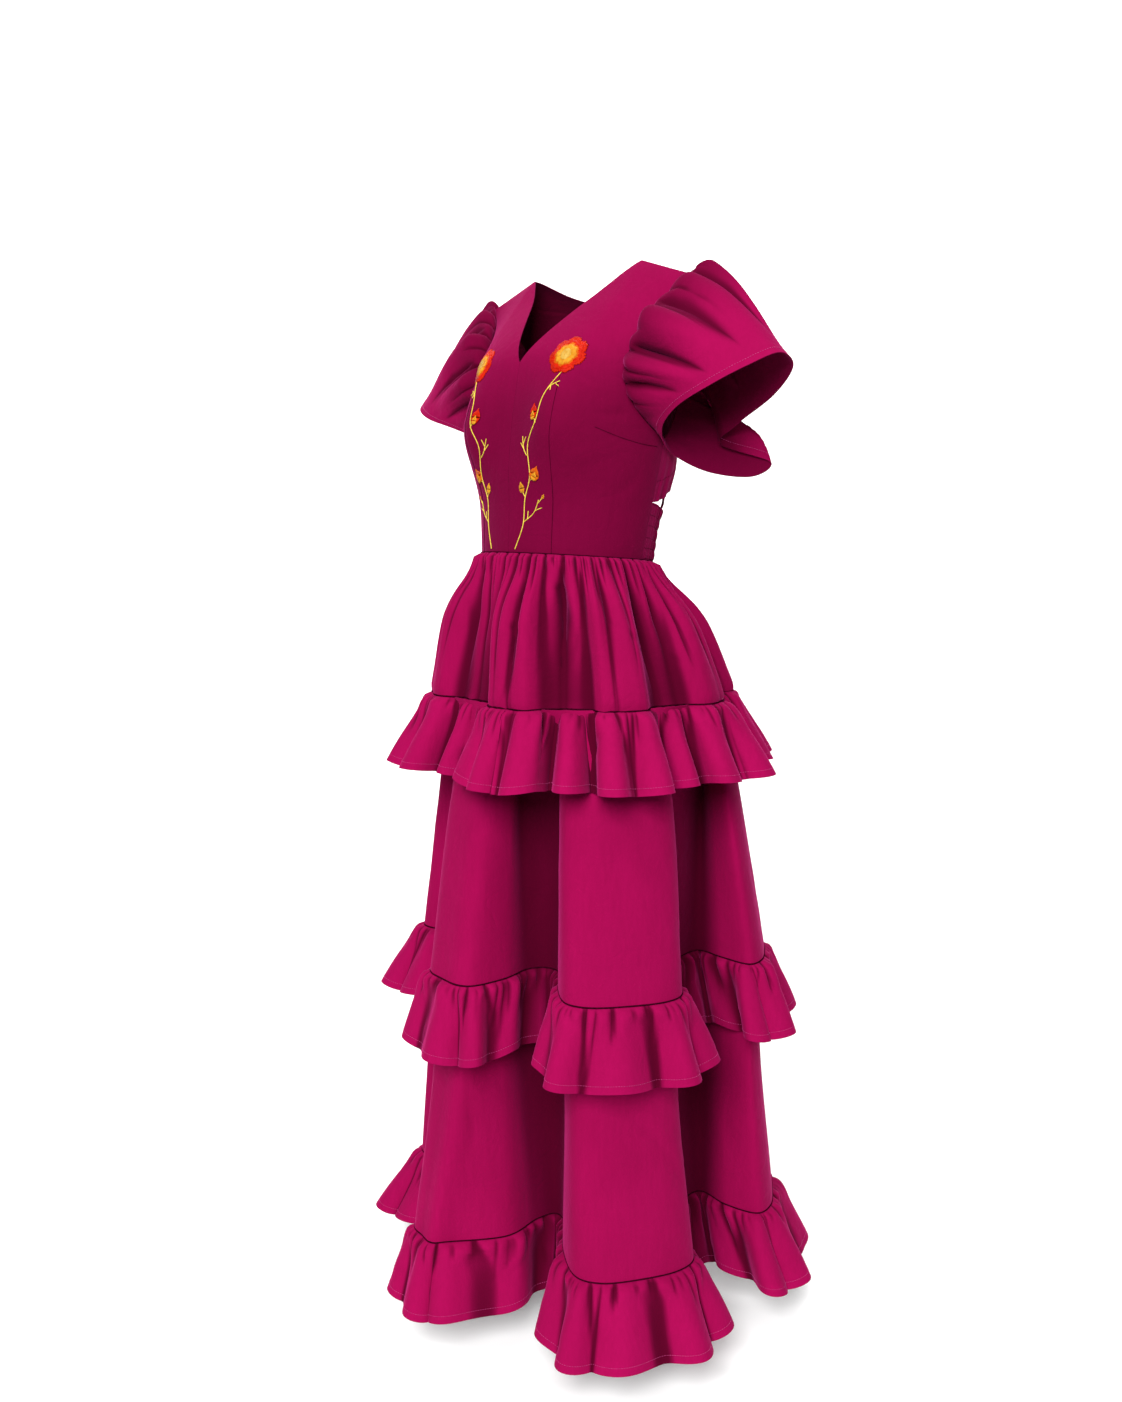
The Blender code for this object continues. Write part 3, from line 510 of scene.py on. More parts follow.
def fold_places(count):
    """Places spaced along the second ring, and each one's share of a turn on the first.

    Both start at the side of the front fold.
    """
    ring = fold_ring(FOLDS_2)
    fine = np.linspace(0, len(ring), RING_STEPS, endpoint=False)
    line = closed_curve(ring, fine)
    length = np.cumsum(np.linalg.norm(np.roll(line, -1, 0) - line, axis=1))
    places = even_places(ring, count)
    shares = np.interp(places, fine, length / length[-1])
    return places, shares - 0.072


def inset(ring, distance):
    """A plan ring moved inwards, with each of its edges kept at one distance from the old one."""
    edges = np.roll(ring, -1, 0) - ring
    edges /= np.linalg.norm(edges, axis=1, keepdims=True)
    square = np.stack([edges[:, 1], -edges[:, 0]], 1)
    corner = square + np.roll(square, 1, 0)
    corner /= np.linalg.norm(corner, axis=1, keepdims=True)
    reach = np.minimum(1 / (corner * square).sum(1), 1.3)
    return ring - corner * (distance * reach)[:, None]


# Hem of the wearer's left sleeve, from the underarm up the front and down the back.
SLEEVE_HEM = {
    "x": (0.153, 0.172, 0.215, 0.268, 0.308, 0.328, 0.322, 0.278, 0.217, 0.189, 0.225, 0.206, 0.172),
    "y": (0.004, -0.036, -0.058, -0.058, -0.040, -0.004, 0.030, 0.052, 0.056, 0.060, 0.120, 0.106, 0.055),
    "z": (
        -0.232, -0.205, -0.181, -0.159, -0.139, -0.123, -0.136, -0.165, -0.198, -0.221, -0.243, -0.262,
        -0.256,
    ),
    "round": (0.0, 0.07, 0.16, 0.27, 0.37, 0.46, 0.54, 0.64, 0.73, 0.78, 0.86, 0.91, 0.95),
}


def sleeve_hem(around, spread=1.0, lower=0.0):
    """The sleeve's open hem as a closed curve, read at shares of the way round it."""
    table = np.column_stack([SLEEVE_HEM["x"], SLEEVE_HEM["y"], SLEEVE_HEM["z"]])
    knots = np.array(SLEEVE_HEM["round"])
    places = np.interp(around, np.append(knots, 1.0), np.arange(len(knots) + 1))
    hem = closed_curve(table, places)
    hem[:, 2] -= lower * smooth((hem[:, 0] - 0.16) / 0.15)
    hem[:, 0] += (spread - 1.0) * (hem[:, 0] - 0.153)
    return hem


# Half sizes of the tie's knot and its height
KNOT_HALF = np.array([0.0085, 0.0056, 0.0062])
KNOT_HEIGHT = -0.2365


def back_surface_y(x, height=KNOT_HEIGHT):
    """How far back the upper back's outer face lies beside the tie."""
    azimuth = math.pi - np.arcsin(np.clip(np.abs(x) / half_width_at(height), 0, 1))
    return upper_back_face(azimuth, height)[..., 1]


# Routes of the tie, as distance to the side, height, and distance out from the back.
LOOP_ROUTE = {
    "side": (0.0083, 0.024, 0.044, 0.060, 0.066, 0.061, 0.049, 0.035, 0.024, 0.015, 0.0083),
    "height": (-0.2325, -0.234, -0.242, -0.258, -0.279, -0.298, -0.306, -0.300, -0.282, -0.258, -0.2405),
    "out": (0.0058, 0.0055, 0.005, 0.005, 0.006, 0.007, 0.0075, 0.008, 0.0082, 0.0075, 0.0062),
}
TAIL_ROUTE = {
    "side": (0.0035, 0.0055, 0.011, 0.0150, 0.0172, 0.018),
    "height": (-0.2428, -0.254, -0.275, -0.297, -0.318, -0.336),
    "out": (0.0062, 0.0075, 0.0110, 0.0130, 0.0140, 0.0135),
}


def route_points(route, side, steps, longer=0.0):
    """Points along a cord's smooth route."""
    knots = np.arange(len(route["side"]), dtype=float)
    at = np.linspace(0, knots[-1], steps)
    x, z, out = (curve_at(knots, route[column], at) for column in ("side", "height", "out"))
    z = z - longer * (at / knots[-1]) ** 2
    return np.stack([side * x, back_surface_y(x) + out, z], 1)


# Looks: sizes of what only shows
# Hollows that the painted shade follows: reach across, depth of a full one, and weight
FINE_HOLLOWS = ((0.012, 0.0024, 0.75), (0.040, 0.0070, 0.75))
BROAD_HOLLOWS = ((0.085, 0.0160, 0.55), (0.160, 0.0400, 0.75))
# Scattered creases: heading in degrees, length, width and depth
BACK_CREASES = (8, 0.09, 0.007, 0.0010)
SLEEVE_CREASES = (0, 0.06, 0.006, 0.0011)
TIER_CREASES = (0, 0.16, 0.008, 0.0016)
CROSS_CREASES = (62, 0.07, 0.006, 0.0009)
RUFFLE_CREASES = (0, 0.05, 0.0045, 0.0012)
# Painted shade that all of a piece's cloth takes, and how readily its hollows fill with painted shade
CHEST_PAINTED_SHADE = 0.26
LOW_BODICE_PAINTED_SHADE = 0.40
BACK_PAINTED_SHADE = 0.42
PANEL_PAINTED_SHADE = 0.48
SLEEVE_PAINTED_SHADE = 0.72
TIER_1_PAINTED_SHADE = 0.04
SLEEVE_KEEN = 3.0
TIER_1_KEEN = 2.6
RUFFLE_KEEN = 2.0
CLOTH = 0.0011
SHARP_EDGE = math.radians(70)
TURNED_SHADE = 0.62
HEM_STITCH_RISE = 0.010
STITCH_PITCH = 0.0034
STITCH_LIFT = 0.00005
# Radii of the dark tubes of painted shade in the darts and seams
SEAM_SHADE_RADIUS = {"dart": 0.00030, "centre": 0.00034, "sleeve": 0.0010, "waist": 0.0012, "ruffle": 0.0013}
# Row of the upper back's grid that the casing is stitched on, counted from its lower edge
CASING_ROW = -7
SHIRRING_ROWS = 6
# Columns and rows of the fine grids
FRONT_COLUMNS = 76
BACK_COLUMNS = 60
PANEL_COLUMNS = 331
PANEL_ROWS = 34
SLEEVE_COLUMNS = 300
SLEEVE_ROWS = 46
TIER_1_COLUMNS = 700
TIER_1_ROWS = 44
DEEP_TIER_ROWS = 38
RUFFLE_ROWS = 22
RUFFLE_1_COLUMNS = 30 * RUFFLE_1_WAVES
DEEP_COLUMNS = 24 * DEEP_RUFFLE_WAVES


def drift(turns, seed, parts, size):
    """A slow uneven waver round a closed ring."""
    rng = np.random.default_rng(seed)
    total = np.zeros_like(turns)
    for part in range(1, parts + 1):
        total += np.cos(2 * math.pi * (part * turns + rng.random())) * rng.uniform(0.4, 1.0)
    return size * total / math.sqrt(parts)


def extents(grid, closed):
    """Mean width and height of a grid, in metres."""
    steps = np.roll(grid, -1, 1) - grid if closed else np.diff(grid, axis=1)
    wide = np.linalg.norm(steps, axis=-1).sum(1).mean()
    tall = np.linalg.norm(np.diff(grid, axis=0), axis=-1).sum(0).mean()
    return wide, tall


def puffs(phase, keen=0.7):
    """Rounded puffs parted by narrow valleys, from -1 to 1."""
    return 2 * np.abs(np.sin(phase / 2)) ** keen - 1


def below(grid, closed, reach):
    """How far each place lies under the cloth around it, in metres, within a reach across."""
    columns = grid.shape[1]
    half = max(1, round(reach / (extents(grid, closed)[0] / columns)))
    half = min(half, columns // 3)
    window = np.hanning(2 * half + 3)[1:-1]
    window /= window.sum()
    padded = np.pad(grid, ((0, 0), (half, half), (0, 0)), mode="wrap" if closed else "edge")
    around = sum(share * padded[:, k:k + columns] for k, share in enumerate(window))
    depth = ((around - grid) * grid_normals(grid, closed)).sum(-1)
    return depth - np.median(depth) if closed else depth - depth.mean()


def hollows(grid, closed, turned=False, nap_and_painted_shade=0.0, keen=1.0):
    """Painted shade: 0 on open cloth and crests, up to 1 down in puckers and deep folds.

    A keener shade is full in shallower hollows, and a painted shade over all of the cloth is taken in too.
    """
    sign = -1 if turned else 1
    left = 1 - nap_and_painted_shade
    for reach, depth, weight in FINE_HOLLOWS + (BROAD_HOLLOWS if closed and not turned else ()):
        left = left * (1 - weight * smooth(keen * sign * below(grid, closed, reach) / depth))
    return 1 - left


def lifted(grid, closed, lift):
    """The grid moved out along its normals."""
    return grid + grid_normals(grid, closed) * lift[..., None]


def press(grid, closed, marks):
    """The grid with soft creases pressed along its normals.

    A mark has a start and an end, each across and down in metres, a width and a depth.
    """
    wide, tall = extents(grid, closed)
    rows, columns = grid.shape[:2]
    across, down = np.meshgrid(
        np.arange(columns) / (columns if closed else columns - 1) * wide,
        np.linspace(0, tall, rows),
    )
    lift = np.zeros((rows, columns))
    for s0, t0, s1, t1, width, depth in marks:
        run, fall = s1 - s0, t1 - t0
        length = math.hypot(run, fall)
        from_start = across - s0
        if closed:
            from_start = (from_start + wide / 2) % wide - wide / 2
        along = (from_start * run + (down - t0) * fall) / length**2
        bow = 0.05 * length * np.sin(math.pi * np.clip(along, 0, 1))
        off = (from_start * fall - (down - t0) * run) / length - bow
        shape = np.exp(-((off / width) ** 2)) - 0.35 * np.exp(-(((off - 1.9 * width) / width) ** 2))
        lift += depth * shape * smooth(along * 2.5) * smooth((1 - along) * 2.5)
    return lifted(grid, closed, lift)


def scattered(seed, count, wide, tall, heading, length, width, depth):
    """Creases of uneven length, depth and spacing, at about one heading from straight down."""
    rng = np.random.default_rng(seed)
    marks = []
    for k in range(count):
        angle = math.radians(heading + rng.normal(0, 16))
        size = length * rng.uniform(0.45, 1.35)
        s0 = (k + rng.uniform(0.1, 0.9)) / count * wide
        t0 = rng.uniform(0.02, 0.75) * tall
        sign = 1 if rng.random() < 0.4 else -1
        marks.append((
            s0, t0, s0 + size * math.sin(angle), t0 + size * math.cos(angle),
            width * rng.uniform(0.7, 1.4), sign * depth * rng.uniform(0.4, 1.2),
        ))
    return marks


def creased(grid, closed, *kinds):
    """The grid with scattered creases; each kind has a seed, a count and a shape."""
    wide, tall = extents(grid, closed)
    marks = []
    for seed, count, shape in kinds:
        marks += scattered(seed, count, wide, tall, *shape)
    return press(grid, closed, marks)


def mesh_object(name, points, faces, material):
    """A smooth-shaded mesh in the scene."""
    mesh = bpy.data.meshes.new(name)
    mesh.from_pydata(np.asarray(points).tolist(), [], faces)
    mesh.materials.append(material)
    mesh.shade_smooth()
    piece = bpy.data.objects.new(name, mesh)
    bpy.context.scene.collection.objects.link(piece)
    return piece


def set_values(piece, name, values):
    """A value for each point of a mesh, for its material to read."""
    layer = piece.data.attributes.new(name, "FLOAT", "POINT")
    layer.data.foreach_set("value", values.astype(np.float32))


def add_cloth(
    node, grid, material, closed=False, seams=(), turned=False, nap_and_painted_shade=0.0, keen=1.0,
):
    """A thin shell over a fine grid, standing in for one solid; a turned grid is its inner face."""
    outer, inner = wall_from(grid, closed, seams, CLOTH)
    rows, columns = grid.shape[:2]
    index = np.arange(rows * columns).reshape(rows, columns)
    if closed:
        index = np.column_stack([index, index[:, :1]])
    shift = rows * columns
    a, b, c, d = index[:-1, :-1], index[1:, :-1], index[1:, 1:], index[:-1, 1:]
    outside = np.stack([a, b, c, d], -1).reshape(-1, 4)
    inside = np.stack([a, d, c, b], -1).reshape(-1, 4) + shift
    top, low = index[0], index[-1]
    rims = [
        np.stack([top[:-1], top[1:], top[1:] + shift, top[:-1] + shift], -1),
        np.stack([low[:-1], low[:-1] + shift, low[1:] + shift, low[1:]], -1),
    ]
    if not closed:
        first, last = index[:, 0], index[:, -1]
        rims.append(np.stack([first[:-1], first[:-1] + shift, first[1:] + shift, first[1:]], -1))
        rims.append(np.stack([last[:-1], last[1:], last[1:] + shift, last[:-1] + shift], -1))
    faces = np.concatenate([outside, inside, *rims])
    points = np.concatenate([outer.reshape(-1, 3), inner.reshape(-1, 3)])
    piece = mesh_object(node + "_cloth", points, faces.tolist(), material)
    piece.data.set_sharp_from_angle(angle=SHARP_EDGE)
    # The deep tone on the inner face is partly the cloth's duller back and partly painted shade; a turned
    # sleeve's inside face gets part of it. The hollows get painted shade by their depth.
    set_values(piece, "inner_side", np.repeat([TURNED_SHADE, 0.0] if turned else [0.0, 1.0], shift))
    set_values(piece, "hollow", np.tile(hollows(grid, closed, turned, nap_and_painted_shade, keen).ravel(), 2))
    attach(piece, "root")
    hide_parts(node)
    return piece


def stitches(
    name, line, normals, material, pitch=STITCH_PITCH, share=0.66, radius=0.00030, closed=False,
):
    """A row of short raised stitches along a line that lies on the cloth."""
    if closed:
        line, normals = np.vstack([line, line[:1]]), np.vstack([normals, normals[:1]])
    run = along_line(line)
    count = max(2, int(run[-1] / pitch))
    middle = (np.arange(count) + 0.5) / count * run[-1]
    half = share * pitch / 2
    start, end = (read_along(line, run, middle + step) for step in (-half, half))
    return threads(name, start, end, read_along(normals, run, middle), radius, material)


def threads(name, start, end, normal, radius, material):
    """Short threads between pairs of points, each a slim bead lying on the cloth."""
    along = end - start
    length = np.linalg.norm(along, axis=1, keepdims=True)
    along = along / np.maximum(length, 1e-9)
    normal = normal - (normal * along).sum(1, keepdims=True) * along
    normal /= np.maximum(np.linalg.norm(normal, axis=1, keepdims=True), 1e-9)
    side = np.cross(normal, along)
    radius = np.broadcast_to(np.asarray(radius, float), (len(start),))[:, None]
    points = [start]
    for place in (0.16, 0.84):
        centre = start + along * length * place + normal * radius * 0.55
        for k in range(4):
            turn = math.pi / 2 * k + math.pi / 4
            points.append(centre + radius * (normal * math.sin(turn) + side * math.cos(turn)))
    points.append(end)
    count = len(start)
    points = np.stack(points, 1).reshape(-1, 3)
    faces = []
    for k in range(4):
        n = (k + 1) % 4
        faces += [(0, 1 + n, 1 + k, 1 + k), (1 + k, 1 + n, 5 + n, 5 + k), (5 + k, 5 + n, 9, 9)]
    every = (np.array(faces)[None] + 10 * np.arange(count)[:, None, None]).reshape(-1, 4).tolist()
    every = [tuple(dict.fromkeys(face)) for face in every]
    piece = mesh_object(name, points, every, material)
    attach(piece, "root")
    return piece


def hem_stitches(name, grid, lift=STITCH_LIFT):
    """A row of topstitching at one height above a closed grid's hem."""
    steps = np.linalg.norm(np.diff(grid, axis=0), axis=-1)[::-1]
    climbed = np.concatenate([np.zeros((1, grid.shape[1])), np.cumsum(steps, axis=0)])
    normals = grid_normals(grid, True)[::-1]
    upward = grid[::-1]
    columns = np.arange(grid.shape[1])
    k = np.array([np.searchsorted(climbed[:, column], HEM_STITCH_RISE) for column in columns])
    k = np.minimum(k, len(climbed) - 1)
    before, after = climbed[k - 1, columns], climbed[k, columns]
    share = ((HEM_STITCH_RISE - before) / (after - before))[:, None]
    line, away = (
        values[k - 1, columns] * (1 - share) + values[k, columns] * share for values in (upward, normals)
    )
    return stitches(name, line + away * lift, away * math.copysign(1, lift), PINK, closed=True)


def tube(line, radius, sides=8, closed=False):
    """Points and faces of a round tube along a line, its ends closed."""
    line = np.asarray(line, float)
    along = np.roll(line, -1, 0) - np.roll(line, 1, 0) if closed else np.gradient(line, axis=0)
    along /= np.linalg.norm(along, axis=1, keepdims=True)
    up = np.array([0.31, 0.17, 0.94])
    side = np.cross(along, up)
    side /= np.linalg.norm(side, axis=1, keepdims=True)
    up = np.cross(side, along)
    radius = np.broadcast_to(np.asarray(radius, float), (len(line),))[:, None]
    turn = 2 * math.pi * np.arange(sides) / sides
    rings = [line + radius * (side * math.cos(t) + up * math.sin(t)) for t in turn]
    points = np.stack(rings, 1).reshape(-1, 3)
    count = len(line)
    faces = []
    for k in range(count if closed else count - 1):
        here, there = k * sides, (k + 1) % count * sides
        for s in range(sides):
            n = (s + 1) % sides
            faces.append((here + s, here + n, there + n, there + s))
    if not closed:
        faces.append(tuple(range(sides))[::-1])
        faces.append(tuple(range((count - 1) * sides, count * sides)))
    return points, faces


def joined(name, parts, material):
    """One mesh of several tubes."""
    points, faces, start = [], [], 0
    for part_points, part_faces in parts:
        points.append(part_points)
        faces += [tuple(start + i for i in face) for face in part_faces]
        start += len(part_points)
    piece = mesh_object(name, np.concatenate(points), faces, material)
    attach(piece, "root")
    return piece


def seam_line(name, lines, radius, closed=False):
    """Fine dark tubes laid where the cloth is pulled into a seam or a dart: painted shade of the groove."""
    return joined(name, [tube(line, radius, 5, closed) for line in lines], DARK_THREAD_AND_PAINTED_SHADE)


class Shader:
    """A material's node tree, built one node at a time."""

    def __init__(self, name, roughness, sheen=0.0, tint=(1, 1, 1), specular=0.15):
        self.material = bpy.data.materials.new(name)
        self.material.use_nodes = True
        self.tree = self.material.node_tree
        self.base = self.tree.nodes["Principled BSDF"]
        self.base.inputs["Roughness"].default_value = roughness
        self.base.inputs["Specular IOR Level"].default_value = specular
        self.base.inputs["Sheen Weight"].default_value = sheen
        self.base.inputs["Sheen Roughness"].default_value = 0.4
        self.base.inputs["Sheen Tint"].default_value = (*tint, 1.0)
        self.place = self.add("ShaderNodeTexCoord").outputs["Object"]

    def add(self, kind, inputs=None, **settings):
        made = self.tree.nodes.new(kind)
        for key, value in settings.items():
            setattr(made, key, value)
        for key, value in (inputs or {}).items():
            if isinstance(value, bpy.types.NodeSocket):
                self.tree.links.new(value, made.inputs[key])
            else:
                made.inputs[key].default_value = value
        return made

    def noise(self, scale, detail=2.0, stretch=(1, 1, 1), distortion=0.0):
        where = self.add("ShaderNodeMapping", {"Vector": self.place, "Scale": stretch}).outputs[0]
        wanted = {"Vector": where, "Scale": scale, "Detail": detail, "Distortion": distortion}
        return self.add("ShaderNodeTexNoise", wanted).outputs["Fac"]

    def ramp(self, factor, low, high, start, end):
        made = self.add("ShaderNodeMapRange", {"Value": factor})
        for key, value in zip(("From Min", "From Max", "To Min", "To Max"), (low, high, start, end)):
            made.inputs[key].default_value = value
        return made.outputs["Result"]

    def mix(self, factor, first, second):
        made = self.add("ShaderNodeMix", {"Factor": factor}, data_type="RGBA", blend_type="MIX")
        for socket, value in ((made.inputs[6], first), (made.inputs[7], second)):
            if isinstance(value, bpy.types.NodeSocket):
                self.tree.links.new(value, socket)
            else:
                socket.default_value = (*value, 1.0)
        return made.outputs[2]

    def bump(self, height, distance, strength=1.0, under=None):
        wanted = {"Height": height, "Distance": distance, "Strength": strength}
        if under is not None:
            wanted["Normal"] = under
        return self.add("ShaderNodeBump", wanted).outputs["Normal"]

    def finish(self, colour, normal):
        self.tree.links.new(colour, self.base.inputs["Base Color"])
        self.tree.links.new(normal, self.base.inputs["Normal"])
        return self.material


def velvet_material(name, light, dark, deep):
    """Short-napped velvet: brushed tone and pile streaks down the cloth, with painted shade in a deep tone
    inside folds, and the same deep tone on the inner face, partly the cloth's back and partly painted shade.
    """
    shader = Shader(name, 0.90, sheen=0.22, tint=(1.0, 0.08, 0.42), specular=0.02)
    clouds = shader.noise(9, 3)
    streaks = shader.noise(34, 3, stretch=(6, 6, 0.5))
    nap_and_painted_shade = shader.noise(1500, 2)
    tone = shader.mix(shader.ramp(clouds, 0.25, 0.75, 0.45, 1.0), dark, light)
    tone = shader.mix(shader.ramp(streaks, 0.35, 0.65, 0.0, 0.25), tone, dark)
    tone = shader.mix(shader.ramp(nap_and_painted_shade, 0.3, 0.7, 0.0, 0.22), tone, dark)
    # Painted shade: the hollow and inner-face values draw the tone towards the deep colour.
    hollow = shader.add("ShaderNodeAttribute", attribute_name="hollow").outputs["Fac"]
    side = shader.add("ShaderNodeAttribute", attribute_name="inner_side").outputs["Fac"]
    painted_shade_share = shader.add("ShaderNodeMath", {0: hollow, 1: side}, operation="MAXIMUM").outputs[0]
    tone = shader.mix(shader.ramp(painted_shade_share, 0.0, 1.0, 0.0, 1.0), tone, deep)
    crinkles = shader.noise(30, 4, distortion=1.0)
    signed = shader.ramp(crinkles, 0.0, 1.0, -1.0, 1.0)
    folded = shader.add("ShaderNodeMath", {0: signed}, operation="ABSOLUTE").outputs[0]
    normal = shader.bump(folded, 0.0030, 0.30)
    normal = shader.bump(nap_and_painted_shade, 0.00025, 0.5, under=normal)
    return shader.finish(tone, normal)


def thread_material(name, light, dark, specular=0.06):
    """Thread with a fine twist and uneven tone, dull where it has no specular light."""
    shader = Shader(name, 0.42 if specular else 0.9, tint=light, specular=specular)
    tone = shader.mix(shader.ramp(shader.noise(260, 2), 0.35, 0.65, 0.0, 1.0), dark, light)
    twist = shader.noise(2600, 1, stretch=(1, 1, 0.5))
    return shader.finish(tone, shader.bump(twist, 0.0002, 0.4))


def cord_material(name, light, dark):
    """A narrow tube sewn from the dress's own cloth."""
    shader = Shader(name, 0.8, sheen=0.3, tint=(1.0, 0.22, 0.60), specular=0.12)
    tone = shader.mix(shader.ramp(shader.noise(420, 2), 0.35, 0.65, 0.0, 1.0), dark, light)
    return shader.finish(tone, shader.bump(shader.noise(1300, 2), 0.0003, 0.5))


# Camera
CAMERA_TURN = math.radians(46)
CAMERA_TILT = math.radians(90 - 8.23)
camera = bpy.data.objects.new("camera", bpy.data.cameras.new("camera"))
bpy.context.scene.collection.objects.link(camera)
camera.location = (1.2423, -1.2471, -0.319)
camera.rotation_euler = (CAMERA_TILT, 0, CAMERA_TURN)
camera.data.lens = 32.1
camera.data.sensor_width = 36
bpy.context.scene.camera = camera

# Velvets: a lighter and a darker tone of the cloth, then the deep tone of the painted shade.
VELVET = velvet_material("velvet", (0.275, 0.0022, 0.058), (0.200, 0.0015, 0.040), (0.056, 0.0004, 0.010))
TRIM = velvet_material("velvet_trim", (0.300, 0.0025, 0.065), (0.215, 0.0017, 0.044), (0.058, 0.0005, 0.010))
CORD = cord_material("cord_cloth", (0.16, 0.002, 0.038), (0.09, 0.001, 0.020))
PINK = thread_material("topstitch_thread", (0.50, 0.06, 0.22), (0.32, 0.03, 0.13))
# Near-black thread for the casing and shirring stitches, also laid in tubes as painted shade in seams and
# darts.
DARK_THREAD_AND_PAINTED_SHADE = thread_material("dark_thread_and_painted_shade", (0.040, 0.001, 0.009), (0.020, 0.001, 0.005), 0.0)


# The tie: four free lengths of cord from the knot at the back
def add_cord(name, node, points):
    curve = bpy.data.curves.new(name, "CURVE")
    curve.dimensions = "3D"
    curve.bevel_depth = CORD_DIAMETER / 2
    curve.bevel_resolution = 3
    curve.use_fill_caps = True
    spline = curve.splines.new("POLY")
    spline.points.add(len(points) - 1)
    for point, place in zip(spline.points, points):
        point.co = (*place, 1.0)
    curve.materials.append(CORD)
    piece = bpy.data.objects.new(name, curve)
    bpy.context.scene.collection.objects.link(piece)
    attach(piece, "root")
    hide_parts(node)
    return piece


END_KNOT_SCALE = 0.55


def ring_tube(centre, half, tilt, thickness, lean=0.0):
    """One turn of cord round the knot: an oval about X, tilted to one side."""
    turn = np.linspace(0, 2 * math.pi, 28, endpoint=False)
    oval = np.stack([lean * np.sin(turn), half[0] * np.cos(turn), half[1] * np.sin(turn)], 1)
    cos, sin = math.cos(tilt), math.sin(tilt)
    x = oval[:, 0] * cos + oval[:, 2] * sin
    z = -oval[:, 0] * sin + oval[:, 2] * cos
    return tube(np.stack([x, oval[:, 1], z], 1) + centre, thickness, 8, closed=True)


def knot_parts(centre, scale=1.0):
    """A knot: one turn of cord in the middle, one leaning at each side, and a short core."""
    centre = np.asarray(centre, float)
    turns = [ring_tube(centre, (0.0036 * scale, 0.0043 * scale), 0.0, 0.0018 * scale, 0.0008)]
    for step, tilt in ((0.0036 * scale, 0.55), (-0.0036 * scale, -0.55)):
        oval = (0.0030 * scale, 0.0036 * scale)
        turns.append(ring_tube(centre + (step, 0, 0), oval, tilt, 0.0019 * scale))
    heart = np.array([[-0.0066, 0, 0], [-0.003, 0, 0.0004], [0.003, 0, -0.0004], [0.0066, 0, 0]]) * scale
    turns.append(tube(heart + centre, 0.0030 * scale, 10))
    return turns


knot_centre = np.array([0.0, float(back_surface_y(0.0)) + KNOT_HALF[1] + 0.0004, KNOT_HEIGHT])
knot = joined("tie_knot_cord", knot_parts(knot_centre), CORD)
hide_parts("tie_knot")
for (side, word), longer in zip(SIDES, (0.0, 0.010)):
    loop = route_points(LOOP_ROUTE, side, 64)
    add_cord(f"tie_loop_{word}_cord", f"tie_loop_{word}", loop)
    tail = route_points(TAIL_ROUTE, side, 32, longer)
    end_knot = joined(f"tie_end_{word}", knot_parts(tail[-1] - (0, 0, 0.001), END_KNOT_SCALE), CORD)
    add_cord(f"tie_tail_{word}_cord", f"tie_tail_{word}", tail)


# Bodice
def on_front(x, z, lift=0.0):
    """Points of the bodice's outer face, and its normals, from distances across and heights."""
    x, z = np.broadcast_arrays(np.asarray(x, float), np.asarray(z, float))
    azimuth = np.arcsin(np.clip(x / half_width_at(z), -1, 1))
    here = torso(azimuth, z)
    down = torso(azimuth, z - 0.0005) - here
    around = torso(azimuth + 0.003, z) - here
    normal = np.cross(down, around)
    normal /= np.linalg.norm(normal, axis=-1, keepdims=True)
    return here + normal * lift, normal


# Rows of the bodice, stage by stage down from the shoulder
FRONT_ROWS = (25, 18, 24, 36)
BACK_ROWS = (25, 24, 18)
# Creases of the left half: start and end, each across from the centre and down from the
# shoulder, then width and depth.
FRONT_CREASES = (
    (0.150, 0.205, 0.100, 0.180, 0.0055, -0.0011),
    (0.165, 0.235, 0.110, 0.262, 0.0070, -0.0013),
    (0.120, 0.300, 0.060, 0.330, 0.0080, 0.0010),
    (0.055, 0.255, 0.040, 0.345, 0.0060, -0.0008),
    (0.095, 0.120, 0.075, 0.175, 0.0080, -0.0009),
    (0.150, 0.330, 0.110, 0.372, 0.0060, -0.0010),
)
# Where the bust dart starts, across and up, and how it falls towards the side seam
BUST_DART = (0.121, -0.203)
BUST_DART_SLOPE = -0.80
DART_SINK = 0.00012
CENTRE_SEAM_SINK = 0.0003


def waist_dart(z):
    """How far from the centre the waist dart lies at a height."""
    return 0.066 + 0.012 * smooth((z + 0.36) / 0.22) + 0.007 * np.exp(-(((z + 0.195) / 0.05) ** 2))


def bust_dart_height(x):
    """Height of the bust dart at a distance from the centre."""
    return BUST_DART[1] + BUST_DART_SLOPE * (x - BUST_DART[0])


def dart_groove(grid):
    """The narrow hollow where the waist dart and the bust dart take in the cloth."""
    x, z = np.abs(grid[..., 0]), grid[..., 2]
    waist = np.exp(-(((x - waist_dart(z)) / 0.0016) ** 2)) * smooth((-0.130 - z) / 0.03)
    bust = np.exp(-(((z - bust_dart_height(x)) / 0.0024) ** 2))
    bust = bust * smooth((x - BUST_DART[0] + 0.004) / 0.012)
    bust = bust * (grid[..., 1] < 0.03)
    return -0.0007 * waist - 0.0009 * bust


def fine_front(side):
    """A front half with its creases and darts; the right half's creases lie a little higher."""
    grid = front_half(side, FRONT_COLUMNS, FRONT_ROWS)
    wide = extents(grid, False)[0]
    jitter = 1.0 if side > 0 else 0.86
    marks = []
    for s0, t0, s1, t1, width, depth in FRONT_CREASES:
        if side < 0:
            s0, s1 = wide - s0, wide - s1
        marks.append((s0, t0 * jitter, s1, t1 * jitter, width, depth))
    grid = press(grid, False, marks)
    return lifted(grid, False, dart_groove(grid))


